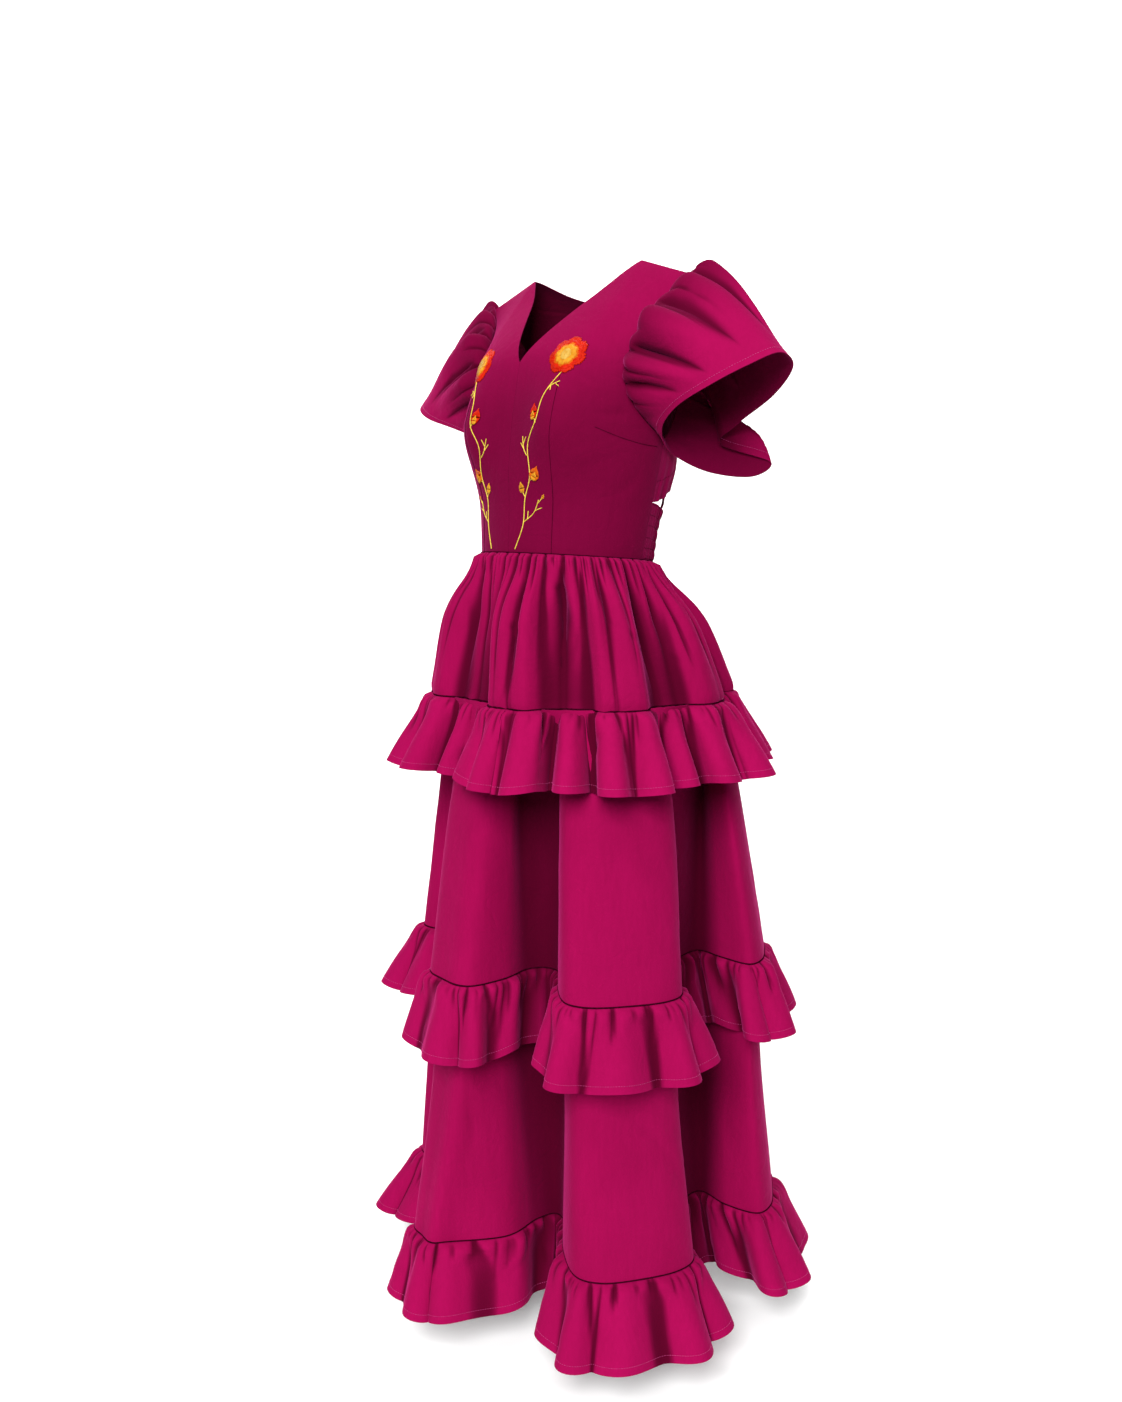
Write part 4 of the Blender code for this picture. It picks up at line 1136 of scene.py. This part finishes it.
def fine_back(side):
    """Upper back: its free lower edge is drawn up on the cord in small gathers."""
    grid = upper_back_half(side, BACK_COLUMNS, BACK_ROWS)
    rows, columns = grid.shape[:2]
    grid = creased(grid, False, (21 + side, 7, BACK_CREASES))
    near_edge = smooth((np.linspace(0, 1, rows) - 0.72) / 0.28)[:, None]
    across = np.linspace(0, 1, columns)[None, :]
    ripple = np.cos(2 * math.pi * 9 * across + 1.2 * np.sin(2 * math.pi * 2 * across)) * 0.0011
    ripple = ripple * smooth(across / 0.1) * smooth((1 - across) / 0.1)
    return lifted(grid, False, near_edge * ripple)


def fine_waist_panel():
    """Elasticated back: five rows of shirring with the cloth puffed between them."""
    grid = back_waist_panel(PANEL_COLUMNS, PANEL_ROWS)
    rows, columns = grid.shape[:2]
    down = np.linspace(0, 1, rows)[:, None]
    around = np.linspace(0, 1, columns)[None, :]
    middle = smooth(around / 0.12) * smooth((1 - around) / 0.12)
    band = np.abs(np.sin(math.pi * 5 * down)) ** 0.7
    phase = 2 * math.pi * 33 * around + 0.8 * np.sin(2 * math.pi * 4 * around) + 0.5 * np.sin(9 * down)
    puff = 0.0008 * band + 0.0010 * (0.4 + 0.6 * band) * np.cos(phase)
    return lifted(grid, False, middle * puff)


for side, word in SIDES:
    grid = fine_front(side)
    # Painted shade over the bodice front, deeper below the chest.
    nap_and_painted_shade = CHEST_PAINTED_SHADE + LOW_BODICE_PAINTED_SHADE * smooth((-0.07 - grid[..., 2]) / 0.12)
    seams = half_seams(side, True, FRONT_ROWS[-1])
    front = add_cloth(f"bodice_front_{word}", grid, VELVET, seams=seams, nap_and_painted_shade=nap_and_painted_shade)
    grid = fine_back(side)
    seams = half_seams(side, False, BACK_ROWS[-1])
    # An even painted shade over the upper back.
    back = add_cloth(f"back_upper_{word}", grid, TRIM, seams=seams, nap_and_painted_shade=BACK_PAINTED_SHADE)
    normals = grid_normals(grid, False)
    edge_line = stitches(
        f"back_upper_{word}_casing_stitch", grid[CASING_ROW], normals[CASING_ROW], DARK_THREAD_AND_PAINTED_SHADE,
    )


def dart_lines(side):
    """The waist dart and the bust dart of a front half, as places on the bodice."""
    down = np.linspace(0, 1, 40)
    waist_z = -0.132 + (waist_height(0.5) + 0.132) * down
    waist_x = waist_dart(waist_z)
    bust_x = np.linspace(BUST_DART[0], 0.1500, 24)
    bust_z = bust_dart_height(bust_x)
    darts = ((waist_x, waist_z), (bust_x, bust_z))
    return [on_front(side * x, z, -DART_SINK)[0] for x, z in darts]


# Dark tubes of painted shade along the darts and down the centre front seam.
for side, word in SIDES:
    seam_line(f"bodice_front_{word}_darts", dart_lines(side), SEAM_SHADE_RADIUS["dart"])
centre_z = np.linspace(V_DEPTH - 0.001, WAIST_FRONT + 0.001, 60)
centre_seam_shade = on_front(np.zeros(60), centre_z, -CENTRE_SEAM_SINK)[0]
seam_line("centre_front_seam_shade", [centre_seam_shade], SEAM_SHADE_RADIUS["centre"])

waist_grid = fine_waist_panel()
waist_normals = grid_normals(waist_grid, False)
for k in range(SHIRRING_ROWS):
    row = round(k * (PANEL_ROWS - 1) / (SHIRRING_ROWS - 1))
    row = min(max(row, 1), PANEL_ROWS - 2)
    stitches(
        f"back_waist_shirring_{k}", waist_grid[row], waist_normals[row], DARK_THREAD_AND_PAINTED_SHADE, 0.0028, 0.8, 0.0003,
    )
panel_seams = (EVERY, 0, side_plane(1)), (EVERY, -1, side_plane(-1))
# An even painted shade over the back waist panel.
waist_panel = add_cloth(
    "back_waist_panel", waist_grid, TRIM, seams=panel_seams, nap_and_painted_shade=PANEL_PAINTED_SHADE,
)


# Sleeves
# How far the flap behind the arm swells outwards and backwards
BACK_FLAP_SWELL = (0.022, 0.024, 0)
SLEEVE_PUFF = 0.029
SLEEVE_RIPPLE = 0.0110
SLEEVE_PUCKER = 0.0046
SLEEVE_HEAD = 0.0040


def fine_cap(step=6):
    """The armhole edge from the underarm, up the front, over the shoulder and down the back."""
    front = front_half(1, 6, (4 * step + 1, 3 * step, 4 * step, 6 * step))[: 11 * step + 1, -1]
    back = upper_back_half(1, 6, (4 * step + 1, 4 * step, 3 * step))[: 8 * step + 1, 0]
    line = np.concatenate([front[::-1], back])
    run = along_line(line)
    wanted = np.linspace(0, run[-1], SLEEVE_COLUMNS)
    return read_along(line, run, wanted), wanted / (wanted[-1] + 0.004)


def fine_sleeve(side, spread, lower):
    """A flutter sleeve: gathered over the shoulder, puffed, and flared to an open hem."""
    cap, around = fine_cap()
    centre = cap.mean(0)
    cap_start = cap + (SEAM_GAP + 0.0003, 0.0, 0.0)
    hem = sleeve_hem(around, spread, lower)
    over_top = smooth((around - 0.08) / 0.18) * smooth((0.95 - around) / 0.25)
    away = cap - centre
    away[:, 0] = 0.0
    away /= np.linalg.norm(away, axis=1, keepdims=True)
    waver = drift(around, 5 + side, 5, 0.5)
    size = np.clip(1 + 0.8 * waver, 0.5, 1.6)
    short = 2 * math.pi * 3 * SLEEVE_GATHERS * around + 3.0 * waver
    long = 2 * math.pi * (SLEEVE_GATHERS + 3) * around + 1.2 * waver
    reach = 0.30 + 0.16 * np.cos(0.7 * long + 1)
    back_flap = np.exp(-(((around - 0.855) / 0.045) ** 2))
    grid = []
    for down in np.linspace(0, 1, SLEEVE_ROWS) ** 1.15:
        puff = SLEEVE_PUFF * np.sin(math.pi * down**0.6) ** 1.1 * (1 - down) ** 0.3
        fold = puffs(long + 1.6 * down * (around - 0.5), 0.95)
        ripple = SLEEVE_RIPPLE * smooth(down / 0.16) * (1 - smooth((down - 0.15) / 0.75)) * fold * size
        fine = SLEEVE_PUCKER * smooth(down / 0.02) * np.exp(-((down / reach) ** 2)) * puffs(short)
        head = SLEEVE_HEAD * smooth(down / 0.03) * (1 - smooth((down - 0.03) / 0.25))
        row = cap_start * (1 - down) + hem * down
        lift = over_top * (puff * (0.30 + 0.70 * np.clip(away[:, 2], 0, 1)) + ripple + fine + head)
        row = row + away * lift[:, None]
        row[:, 0] += 0.008 * over_top * np.sin(math.pi * down)
        row = row + np.outer(back_flap, BACK_FLAP_SWELL) * math.sin(math.pi * down**0.9)
        grid.append(row)
    grid = np.array(grid)[:, ::-1]
    if side < 0:
        grid = grid[:, ::-1] * (-1, 1, 1)
    return creased(grid, True, (31 + side, 12, SLEEVE_CREASES))


armhole = ((0, EVERY, (1, 0, 0)),)
for (side, word), spread, lower in zip(SIDES, (1.0, 1.06), (0.0, 0.012)):
    grid = fine_sleeve(side, spread, lower)
    # Painted shade in the gathers near the sleeve's cap, fading towards the hem.
    nap_and_painted_shade = SLEEVE_PAINTED_SHADE * (1 - smooth(np.linspace(0, 1, len(grid)) / 0.75))[:, None]
    piece = add_cloth(
        f"sleeve_{word}", grid, VELVET, True, armhole,
        turned=True, nap_and_painted_shade=nap_and_painted_shade, keen=SLEEVE_KEEN,
    )
    hem = hem_stitches(f"sleeve_{word}_topstitch", grid, -CLOTH - STITCH_LIFT)
    # A dark tube of painted shade round the armhole seam.
    around_hole = (grid[0] - grid[0].mean(0)) * (0, 1, 1)
    around_hole /= np.linalg.norm(around_hole, axis=1, keepdims=True)
    edge = grid[0] + around_hole * 0.0012 - (side * 0.0008, 0, 0)
    seam = seam_line(f"sleeve_{word}_seam", [edge], SEAM_SHADE_RADIUS["sleeve"], closed=True)


# Skirt
# Azimuths, in degrees from the front, of the broad panels that the first tier falls into
PANELS = (16, 60, 101, 143, 188, 231, 274, 322)
PANEL_SWELL = 0.0160
FOLD_SWELL = 0.0062
GATHER_PUCKER = 0.0034
RUFFLE_PUCKER = 0.0042
RUFFLE_HEAD = 0.0030
RUFFLE_SINK = 0.0015


def panel_shape(azimuth):
    """Flat-topped panels parted by narrower hollows, from -1 to 1."""
    centres = np.radians(np.array((PANELS[-1] - 360, *PANELS, PANELS[0] + 360)))
    phase = np.interp(azimuth, centres, 2 * math.pi * np.arange(len(centres)))
    phase = phase + 0.9 * np.sin(phase) * 0.5
    return np.tanh(2.6 * (np.cos(phase) + 0.42))


def tier_1_swell(azimuth, down):
    """How far the first tier's folds stand off its plain form at a share of its fall."""
    turns = azimuth / (2 * math.pi)
    waver = drift(turns, 3, 9, 0.7)
    size = np.clip(1 + drift(turns, 4, 15, 0.45), 0.3, 1.7)
    phase = WAIST_GATHERS * azimuth + 1.3 * waver
    settled = smooth(down / 0.3)
    pinch = 0.0026 * (1 - settled) + 0.0050 * settled * (1 - 0.85 * smooth((down - 0.25) / 0.6))
    swell = pinch * puffs(phase + 0.8 * waver * settled) * (0.4 + 0.6 * size)
    medium = puffs(WAIST_GATHERS / 2 * azimuth + 1.6 * waver + 0.5 * down, 0.6)
    medium = FOLD_SWELL * smooth(down / 0.35) * (1 - 0.75 * smooth((down - 0.45) / 0.5)) * medium * size
    broad = panel_shape(azimuth + 0.04 * waver * (1 - down))
    swell = swell + medium + PANEL_SWELL * smooth((down - 0.02) / 0.45) * broad
    small = puffs(1.9 * phase + 3 * waver) + 0.5 * puffs(3.1 * phase + 2 * waver + 1)
    reach = 0.18 + 0.12 * np.cos(0.37 * phase + 3 * waver)
    swell = swell + GATHER_PUCKER * smooth(down / 0.02) * np.exp(-((down / reach) ** 2)) * small
    swell = swell + 0.0012 * smooth(down / 0.03) * (1 - smooth(down / 0.2))
    return swell * (1 - 0.12 * smooth((down - 0.95) / 0.05)) * smooth(0.25 + down / 0.03) + 0.0012


def fine_tier_1():
    """First skirt tier: uneven gathers at the waist that run down into long soft folds."""
    turns = np.arange(TIER_1_COLUMNS) / TIER_1_COLUMNS
    azimuth = 2 * math.pi * turns
    waist = torso(azimuth, waist_height(azimuth))
    hip = hip_ring(turns)
    normals = plan_normals(waist[:, :2])
    top = waist[:, 2] - SEAM_GAP
    grid = []
    for down in np.linspace(0, 1, TIER_1_ROWS) ** 1.2:
        spread = 1 - (1 - down) ** 1.25
        plan = waist[:, :2] * (1 - spread) + hip * spread
        plan = plan + normals * tier_1_swell(azimuth, down)[:, None]
        grid.append(np.column_stack([plan, top * (1 - down) + SEAM_1 * down]))
    return np.array(grid)


def fine_hanging(stations):
    """A long plain tier hanging smoothly through three plan rings."""
    heights = np.array([z for z, _ in stations])
    rings = [ring for _, ring in stations]
    slopes = [(rings[k + 1] - rings[k]) / (heights[k + 1] - heights[k]) for k in (0, 1)]
    slopes = [slopes[0], (slopes[0] + slopes[1]) / 2, slopes[1]]
    grid = []
    for z in np.linspace(heights[0], heights[-1], DEEP_TIER_ROWS):
        k = 0 if z > heights[1] else 1
        width = heights[k + 1] - heights[k]
        t = (z - heights[k]) / width
        plan = between(rings[k], rings[k + 1], slopes[k], slopes[k + 1], width, t)
        grid.append(np.column_stack([plan, np.full(len(plan), z)]))
    return np.array(grid)


def fine_ruffle(seam, hem, top, waves, depth, seed):
    """A gathered ruffle: puckers under its seam, opening into uneven flutes at the hem."""
    count = len(seam)
    turns = np.arange(count) / count
    phase = 2 * math.pi * waves * turns + drift(turns, seed, 14, 0.9)
    wave = np.cos(phase + 0.25 * np.sin(phase))
    pitch = np.linalg.norm(np.diff(hem, axis=0), axis=1).sum() / waves
    uneven = np.clip(1 + drift(turns, seed + 5, 31, 0.45), 0.35, 1.6)
    room = 0.45 + 0.55 * smooth((np.linalg.norm(hem, axis=1) - 0.17) / 0.07)
    sway = 0.35 * np.cos(2 * math.pi * 7 * turns + 1.0) + 0.25 * np.cos(2 * math.pi * 11 * turns)
    waver = drift(turns, seed + 1, 21, 1.0)
    pucker = puffs(1.9 * phase + 2 * waver) + 0.7 * puffs(3.3 * phase + 3 * waver)
    reach = 0.30 + 0.20 * np.cos(0.61 * phase + 2 * waver)
    grid = []
    for down in np.linspace(0, 1, RUFFLE_ROWS) ** 1.25:
        plan = seam * (1 - down) + hem * down
        opened = room * down**0.7 * uneven
        swell = 0.0014 * (1 - down) * down * 4 * (1 + wave)
        swell = swell + depth * opened * (wave * (1 + 0.4 * sway) + 0.35)
        swell = swell + RUFFLE_PUCKER * smooth(down / 0.05) * np.exp(-((down / reach) ** 2)) * pucker
        swell = swell + RUFFLE_HEAD * smooth(down / 0.10) * (1 - smooth((down - 0.10) / 0.35))
        swell = swell - RUFFLE_SINK * np.exp(-((down / 0.03) ** 2))
        normals = plan_normals(plan)
        along = np.stack([-normals[:, 1], normals[:, 0]], 1)
        lap = 0.62 * pitch / (2 * math.pi) * opened * np.sin(phase)
        plan = plan + normals * swell[:, None] + along * lap[:, None]
        z = top - RUFFLE_DROP * down * (1 - 0.035 * (wave + sway))
        grid.append(np.column_stack([plan, z]))
    return np.array(grid)


def add_tier(node, grid, seed, creases, nap_and_painted_shade=0.0, keen=1.0):
    """A skirt tier, creased down the cloth and here and there across it."""
    grid = creased(
        grid, True, (seed, creases, TIER_CREASES), (seed + 50, creases // 2, CROSS_CREASES),
    )
    piece = add_cloth(node, grid, VELVET, True, LEVEL_WALL, nap_and_painted_shade=nap_and_painted_shade, keen=keen)
    return piece


def add_ruffle(node, grid, seed):
    """A ruffle with its topstitched hem, and a dark tube of painted shade along the seam that carries it."""
    grid = creased(grid, True, (seed, 60, RUFFLE_CREASES))
    piece = add_cloth(node, grid, TRIM, True, LEVEL_WALL, keen=RUFFLE_KEEN)
    hem = hem_stitches(node + "_topstitch", grid)
    outward = np.append(plan_normals(grid[0, :, :2]), np.zeros((grid.shape[1], 1)), 1)
    edge = grid[0] + outward * 0.0010 + (0, 0, 0.0004)
    seam = seam_line(node + "_seam", [edge], SEAM_SHADE_RADIUS["ruffle"], closed=True)
    return piece


# A dark tube of painted shade along the waist seam.
ring_azimuth = np.linspace(0, 2 * math.pi, 240, endpoint=False)
waist_ring = torso(ring_azimuth, waist_height(ring_azimuth) - 0.0002)
waist_ring[:, :2] += plan_normals(waist_ring[:, :2]) * 0.0006
waist_seam_shade = seam_line("skirt_tier_1_seam_shade", [waist_ring], SEAM_SHADE_RADIUS["waist"], closed=True)
# A faint even painted shade on the first tier, whose hollows fill readily with painted shade.
add_tier(
    "skirt_tier_1", fine_tier_1(), 61,
    30,
    nap_and_painted_shade=TIER_1_PAINTED_SHADE, keen=TIER_1_KEEN,
)
fine_places, fine_turns = fold_places(DEEP_COLUMNS)
places, turns = fine_places[::2], fine_turns[::2]
ring_1 = inset(hip_ring(turns), WALL + 0.0005)
below_1 = closed_curve(fold_ring(FOLDS_2, crests=SHALLOW_CREST, troughs=SHALLOW_TROUGH), places)
ring_2, ring_3 = (closed_curve(fold_ring(folds), places) for folds in (FOLDS_2, FOLDS_3))
below_2 = 0.88 * inset(ring_2, 0.0085) + 0.12 * ring_3
top_3 = inset(ring_2, WALL + 0.0004)
tier_2 = ((SEAM_1 - SEAM_GAP, ring_1), (SEAM_1 - 0.097, below_1), (SEAM_2, ring_2))
tier_3 = ((SEAM_2 - SEAM_GAP, top_3), (SEAM_2 - 0.11, below_2), (SEAM_3, ring_3))
for k, stations, flat in ((2, tier_2, (2.40, 0.372)), (3, tier_3, (2.45, 0.372))):
    grid = fine_hanging(stations)
    add_tier(f"skirt_tier_{k}", grid, 60 + k, 22)

hip_turns = np.arange(RUFFLE_1_COLUMNS) / RUFFLE_1_COLUMNS
hip_seam = hip_ring(hip_turns)
hip_seam = hip_seam + plan_normals(hip_seam) * tier_1_swell(2 * math.pi * hip_turns, 1.0)[:, None]
hip_hem = hip_seam * (1 + RUFFLE_FLARE / 0.2)
ruffle_1 = fine_ruffle(hip_seam, hip_hem, SEAM_1 - SEAM_GAP, RUFFLE_1_WAVES, 0.0150, 71)
add_ruffle("ruffle_1", ruffle_1, 81)
for k, folds, top, flat in ((2, FOLDS_2, SEAM_2, (3.40, 0.105)), (3, FOLDS_3, SEAM_3, (3.60, 0.105))):
    seam = closed_curve(fold_ring(folds), fine_places)
    hem = closed_curve(fold_ring(folds, hem=True), fine_places)
    grid = fine_ruffle(seam, hem, top - SEAM_GAP, DEEP_RUFFLE_WAVES, 0.0120, 70 + k)
    add_ruffle(f"ruffle_{k}", grid, 80 + k)


# Embroidery
THREADS = {
    "red": thread_material("thread_red", (0.47, 0.0120, 0.0008), (0.38, 0.0070, 0.0006)),
    "orange": thread_material("thread_orange", (0.50, 0.105, 0.003), (0.46, 0.060, 0.002)),
    "yellow": thread_material("thread_yellow", (0.52, 0.250, 0.014), (0.48, 0.175, 0.008)),
    "pale": thread_material("thread_pale", (0.54, 0.350, 0.075), (0.50, 0.270, 0.035)),
    "gold": thread_material("thread_gold", (0.78, 0.62, 0.080), (0.60, 0.44, 0.045)),
}
# The left branch's stem, as places across and up, and its twigs below; the right one leans
# outwards by a share of the height under LEAN_TOP.
STEM = ((0.081, -0.134), (0.064, -0.163), (0.058, -0.193), (0.040, -0.223), (0.040, -0.262),
        (0.029, -0.292), (0.026, -0.325), (0.013, -0.357))
LEAN_TOP = -0.069
FLOWER = (0.080, -0.113)
# Satin rings of the flower: colour, inner and outer radius, threads, squash, tilt, petals,
# raggedness, and each thread's radius and lift.
RINGS = (
    ("red", 0.0135, 0.0245, 190, 0.96, 0.2, 7, 0.05, 0.00095, 0.0002),
    ("red", 0.0125, 0.0205, 130, 0.96, 0.2, 7, 0.04, 0.00095, 0.0006),
    ("orange", 0.0080, 0.0162, 110, 0.94, 0.3, 8, 0.07, 0.00085, 0.0011),
    ("yellow", 0.0050, 0.0142, 100, 0.92, 0.3, 8, 0.06, 0.00085, 0.0017),
    ("pale", 0.0002, 0.0085, 60, 0.90, 0.4, 0, 0.03, 0.00060, 0.0020),
)
TWIGS = (
    ((0.067, -0.157), (0.072, -0.151), (0.083, -0.146)),
    ((0.072, -0.151), (0.073, -0.157)),
    ((0.078, -0.149), (0.084, -0.153)),
    ((0.037, -0.237), (0.031, -0.228), (0.028, -0.212)),
    ((0.031, -0.228), (0.024, -0.220)),
    ((0.030, -0.222), (0.036, -0.213)),
    ((0.026, -0.322), (0.042, -0.310), (0.050, -0.293)),
    ((0.044, -0.307), (0.054, -0.303)),
    ((0.048, -0.298), (0.056, -0.290)),
    ((0.033, -0.318), (0.034, -0.307)),
    ((0.030, -0.290), (0.026, -0.283)),
    ((0.058, -0.197), (0.053, -0.190)),
    ((0.040, -0.268), (0.046, -0.265)),
)
# Buds: colour, base, tip, width, threads, and each thread's radius and lift
BUDS = (
    ("red", (0.052, -0.193), (0.049, -0.171), 0.0150, 13, 0.0010, 0.0004),
    ("yellow", (0.052, -0.194), (0.050, -0.181), 0.0075, 7, 0.0008, 0.0014),
    ("orange", (0.043, -0.269), (0.054, -0.250), 0.0150, 13, 0.0010, 0.0004),
    ("yellow", (0.044, -0.269), (0.051, -0.257), 0.0075, 7, 0.0008, 0.0014),
    ("yellow", (0.026, -0.285), (0.023, -0.269), 0.0078, 8, 0.0009, 0.0004),
    ("yellow", (0.055, -0.292), (0.058, -0.286), 0.0030, 3, 0.0007, 0.0004),
)


def through(knots, count):
    """An open smooth curve through a few points."""
    knots = np.array(knots, float)
    at = np.linspace(0, len(knots) - 1, count)
    lead, tail = 2 * knots[0] - knots[1], 2 * knots[-1] - knots[-2]
    around = np.vstack([knots, tail, lead])
    return closed_curve(around, np.minimum(at, len(knots) - 1 - 1e-9))


def needle(side, start, end, lift, lean):
    """Ends and normal of threads laid on the cloth between two sets of places."""
    ends = [
        on_front(side * (place[:, 0] + lean * (LEAN_TOP - place[:, 1])), place[:, 1], lift)
        for place in (start, end)
    ]
    return ends[0][0], ends[1][0], ends[0][1]


def stem_threads(knots, pitch, length):
    """Overlapping threads that slant a little across a stem."""
    line = through(knots, 60)
    run = along_line(line)
    middle = np.arange(pitch / 2, run[-1], pitch)
    start, end = (read_along(line, run, middle + step) for step in (-length / 2, length / 2))
    slant = end - start
    slant = np.stack([-slant[:, 1], slant[:, 0]], 1) / np.linalg.norm(slant, axis=1, keepdims=True) * 0.0002
    return start + slant, end - slant


def fan(centre, inner, outer, count, rng, squash, tilt, petals, ragged):
    """Radial satin threads of a flower's ring."""
    angle = 2 * math.pi * (np.arange(count) + rng.uniform(-0.2, 0.2, count)) / count
    scallop = 0.84 + 0.18 * np.abs(np.sin(petals * angle / 2 + 0.35)) ** 0.6 if petals else 1.0
    edge = outer * (scallop + ragged * rng.uniform(-1, 1, count))
    ends = []
    for radius in (inner, edge):
        x = radius * np.cos(angle)
        z = radius * np.sin(angle) * squash
        ends.append(np.stack([
            centre[0] + x * math.cos(tilt) - z * math.sin(tilt),
            centre[1] + x * math.sin(tilt) + z * math.cos(tilt),
        ], 1))
    return ends


def bud_threads(base, tip, width, count):
    """A pointed bud of threads side by side, from its base to its tip."""
    base, tip = np.array(base, float), np.array(tip, float)
    along = tip - base
    across = np.array([-along[1], along[0]]) / np.linalg.norm(along)
    place = np.linspace(-1, 1, count)
    belly = base + along * 0.42 + across * (width / 2 * place)[:, None]
    start = base + (belly - base) * 0.15 + across * (width / 7 * place)[:, None]
    end = belly + (tip - belly) * (1 - 0.45 * np.abs(place))[:, None]
    return np.concatenate([start, belly]), np.concatenate([belly, end])


def embroider(side, word, lean):
    """One flowering branch up a front half, mirrored on the other, where it leans outwards."""
    rng = np.random.default_rng(7 if side > 0 else 8)
    work = {colour: [] for colour in THREADS}
    for colour, inner, outer, count, squash, tilt, petals, ragged, radius, lift in RINGS:
        ring = fan(FLOWER, inner, outer, count, rng, squash, tilt, petals, ragged)
        work[colour].append((*ring, radius, lift))
    rows = np.linspace(-0.0062, 0.0062, 13)
    half = 0.0074 * np.sqrt(1 - (rows / 0.0070) ** 2)
    bars = [np.stack([FLOWER[0] + sign * half, FLOWER[1] + rows], 1) for sign in (-1, 1)]
    work["pale"].append((*bars, 0.00055, 0.0026))
    work["gold"].append((*stem_threads(STEM, 0.0023, 0.0036), 0.00062, 0.0003))
    for twig in TWIGS:
        work["gold"].append((*stem_threads(twig, 0.0021, 0.0032), 0.00055, 0.0003))
    for colour, base, tip, width, count, radius, lift in BUDS:
        work[colour].append((*bud_threads(base, tip, width, count), radius, lift))
    for colour, runs in work.items():
        laid = [
            (*needle(side, start, end, lift, lean), np.full(len(start), radius))
            for start, end, radius, lift in runs
        ]
        starts, ends, normals, radii = (np.concatenate(column) for column in zip(*laid))
        threads(f"embroidery_{word}_{colour}", starts, ends, normals, radii, THREADS[colour])


for (side, word), lean in zip(SIDES, (0.0, 0.09)):
    embroider(side, word, lean)


# Floor and light
WHITE = (1.0, 1.0, 1.0, 1.0)


def plain_material(name, colour):
    material = bpy.data.materials.new(name)
    material.use_nodes = True
    shader = material.node_tree.nodes["Principled BSDF"]
    shader.inputs["Base Color"].default_value = (*colour, 1.0)
    shader.inputs["Roughness"].default_value = 0.9
    shader.inputs["Specular IOR Level"].default_value = 0.1
    shader.inputs["Emission Color"].default_value = WHITE
    shader.inputs["Emission Strength"].default_value = 0.18
    return material


FLOOR_HEIGHT = -1.462
FLOOR_FRONT = -0.95
FLOOR_BACK = 1.3
SWEEP_RADIUS = 1.2
WALL_HEIGHT = 5.5
FLOOR_HALF_WIDTH = 7.0


def add_floor():
    """A pale sweep: a floor that curves up into a wall behind."""
    right = np.array([math.cos(CAMERA_TURN), math.sin(CAMERA_TURN), 0])
    back = np.array([-math.sin(CAMERA_TURN), math.cos(CAMERA_TURN), 0])
    profile = [(FLOOR_FRONT, 0.0), (FLOOR_BACK, 0.0)]
    for turn in np.linspace(0.1, math.pi / 2, 12):
        rise = SWEEP_RADIUS - SWEEP_RADIUS * math.cos(turn)
        profile.append((FLOOR_BACK + SWEEP_RADIUS * math.sin(turn), rise))
    profile.append((FLOOR_BACK + SWEEP_RADIUS, WALL_HEIGHT))
    points = [
        back * away + right * across + (0, 0, FLOOR_HEIGHT + rise)
        for away, rise in profile for across in (-FLOOR_HALF_WIDTH, FLOOR_HALF_WIDTH)
    ]
    faces = [(2 * k, 2 * k + 1, 2 * k + 3, 2 * k + 2) for k in range(len(profile) - 1)]
    floor = mesh_object("floor", points, faces, plain_material("pale_floor", (0.88, 0.88, 0.88)))


def add_light(name, place, aim, size, power):
    """A square light turned towards the place that it lights."""
    data = bpy.data.lights.new(name, "AREA")
    data.size = size
    data.energy = power
    lamp = bpy.data.objects.new(name, data)
    lamp.location = place
    toward = np.asarray(aim, float) - np.asarray(place, float)
    lamp.rotation_euler = (
        math.acos(-toward[2] / np.linalg.norm(toward)), 0, math.atan2(toward[1], toward[0]) - math.pi / 2,
    )
    bpy.context.scene.collection.objects.link(lamp)


add_floor()
world = bpy.data.worlds.new("studio")
world.use_nodes = True
background = world.node_tree.nodes["Background"]
background.inputs["Color"].default_value = WHITE
background.inputs["Strength"].default_value = 0.20
bpy.context.scene.world = world
add_light("key", (2.18, -3.23, 1.6), (0, 0, -0.75), 2.2, 330)
add_light("wall", (-0.9, 0.9, 1.9), (-2.0, 2.1, -0.2), 1.2, 60)
add_light("top", (0.6, -0.7, 2.4), (0, 0, -0.3), 1.4, 30)
bpy.context.scene.view_settings.view_transform = "Standard"
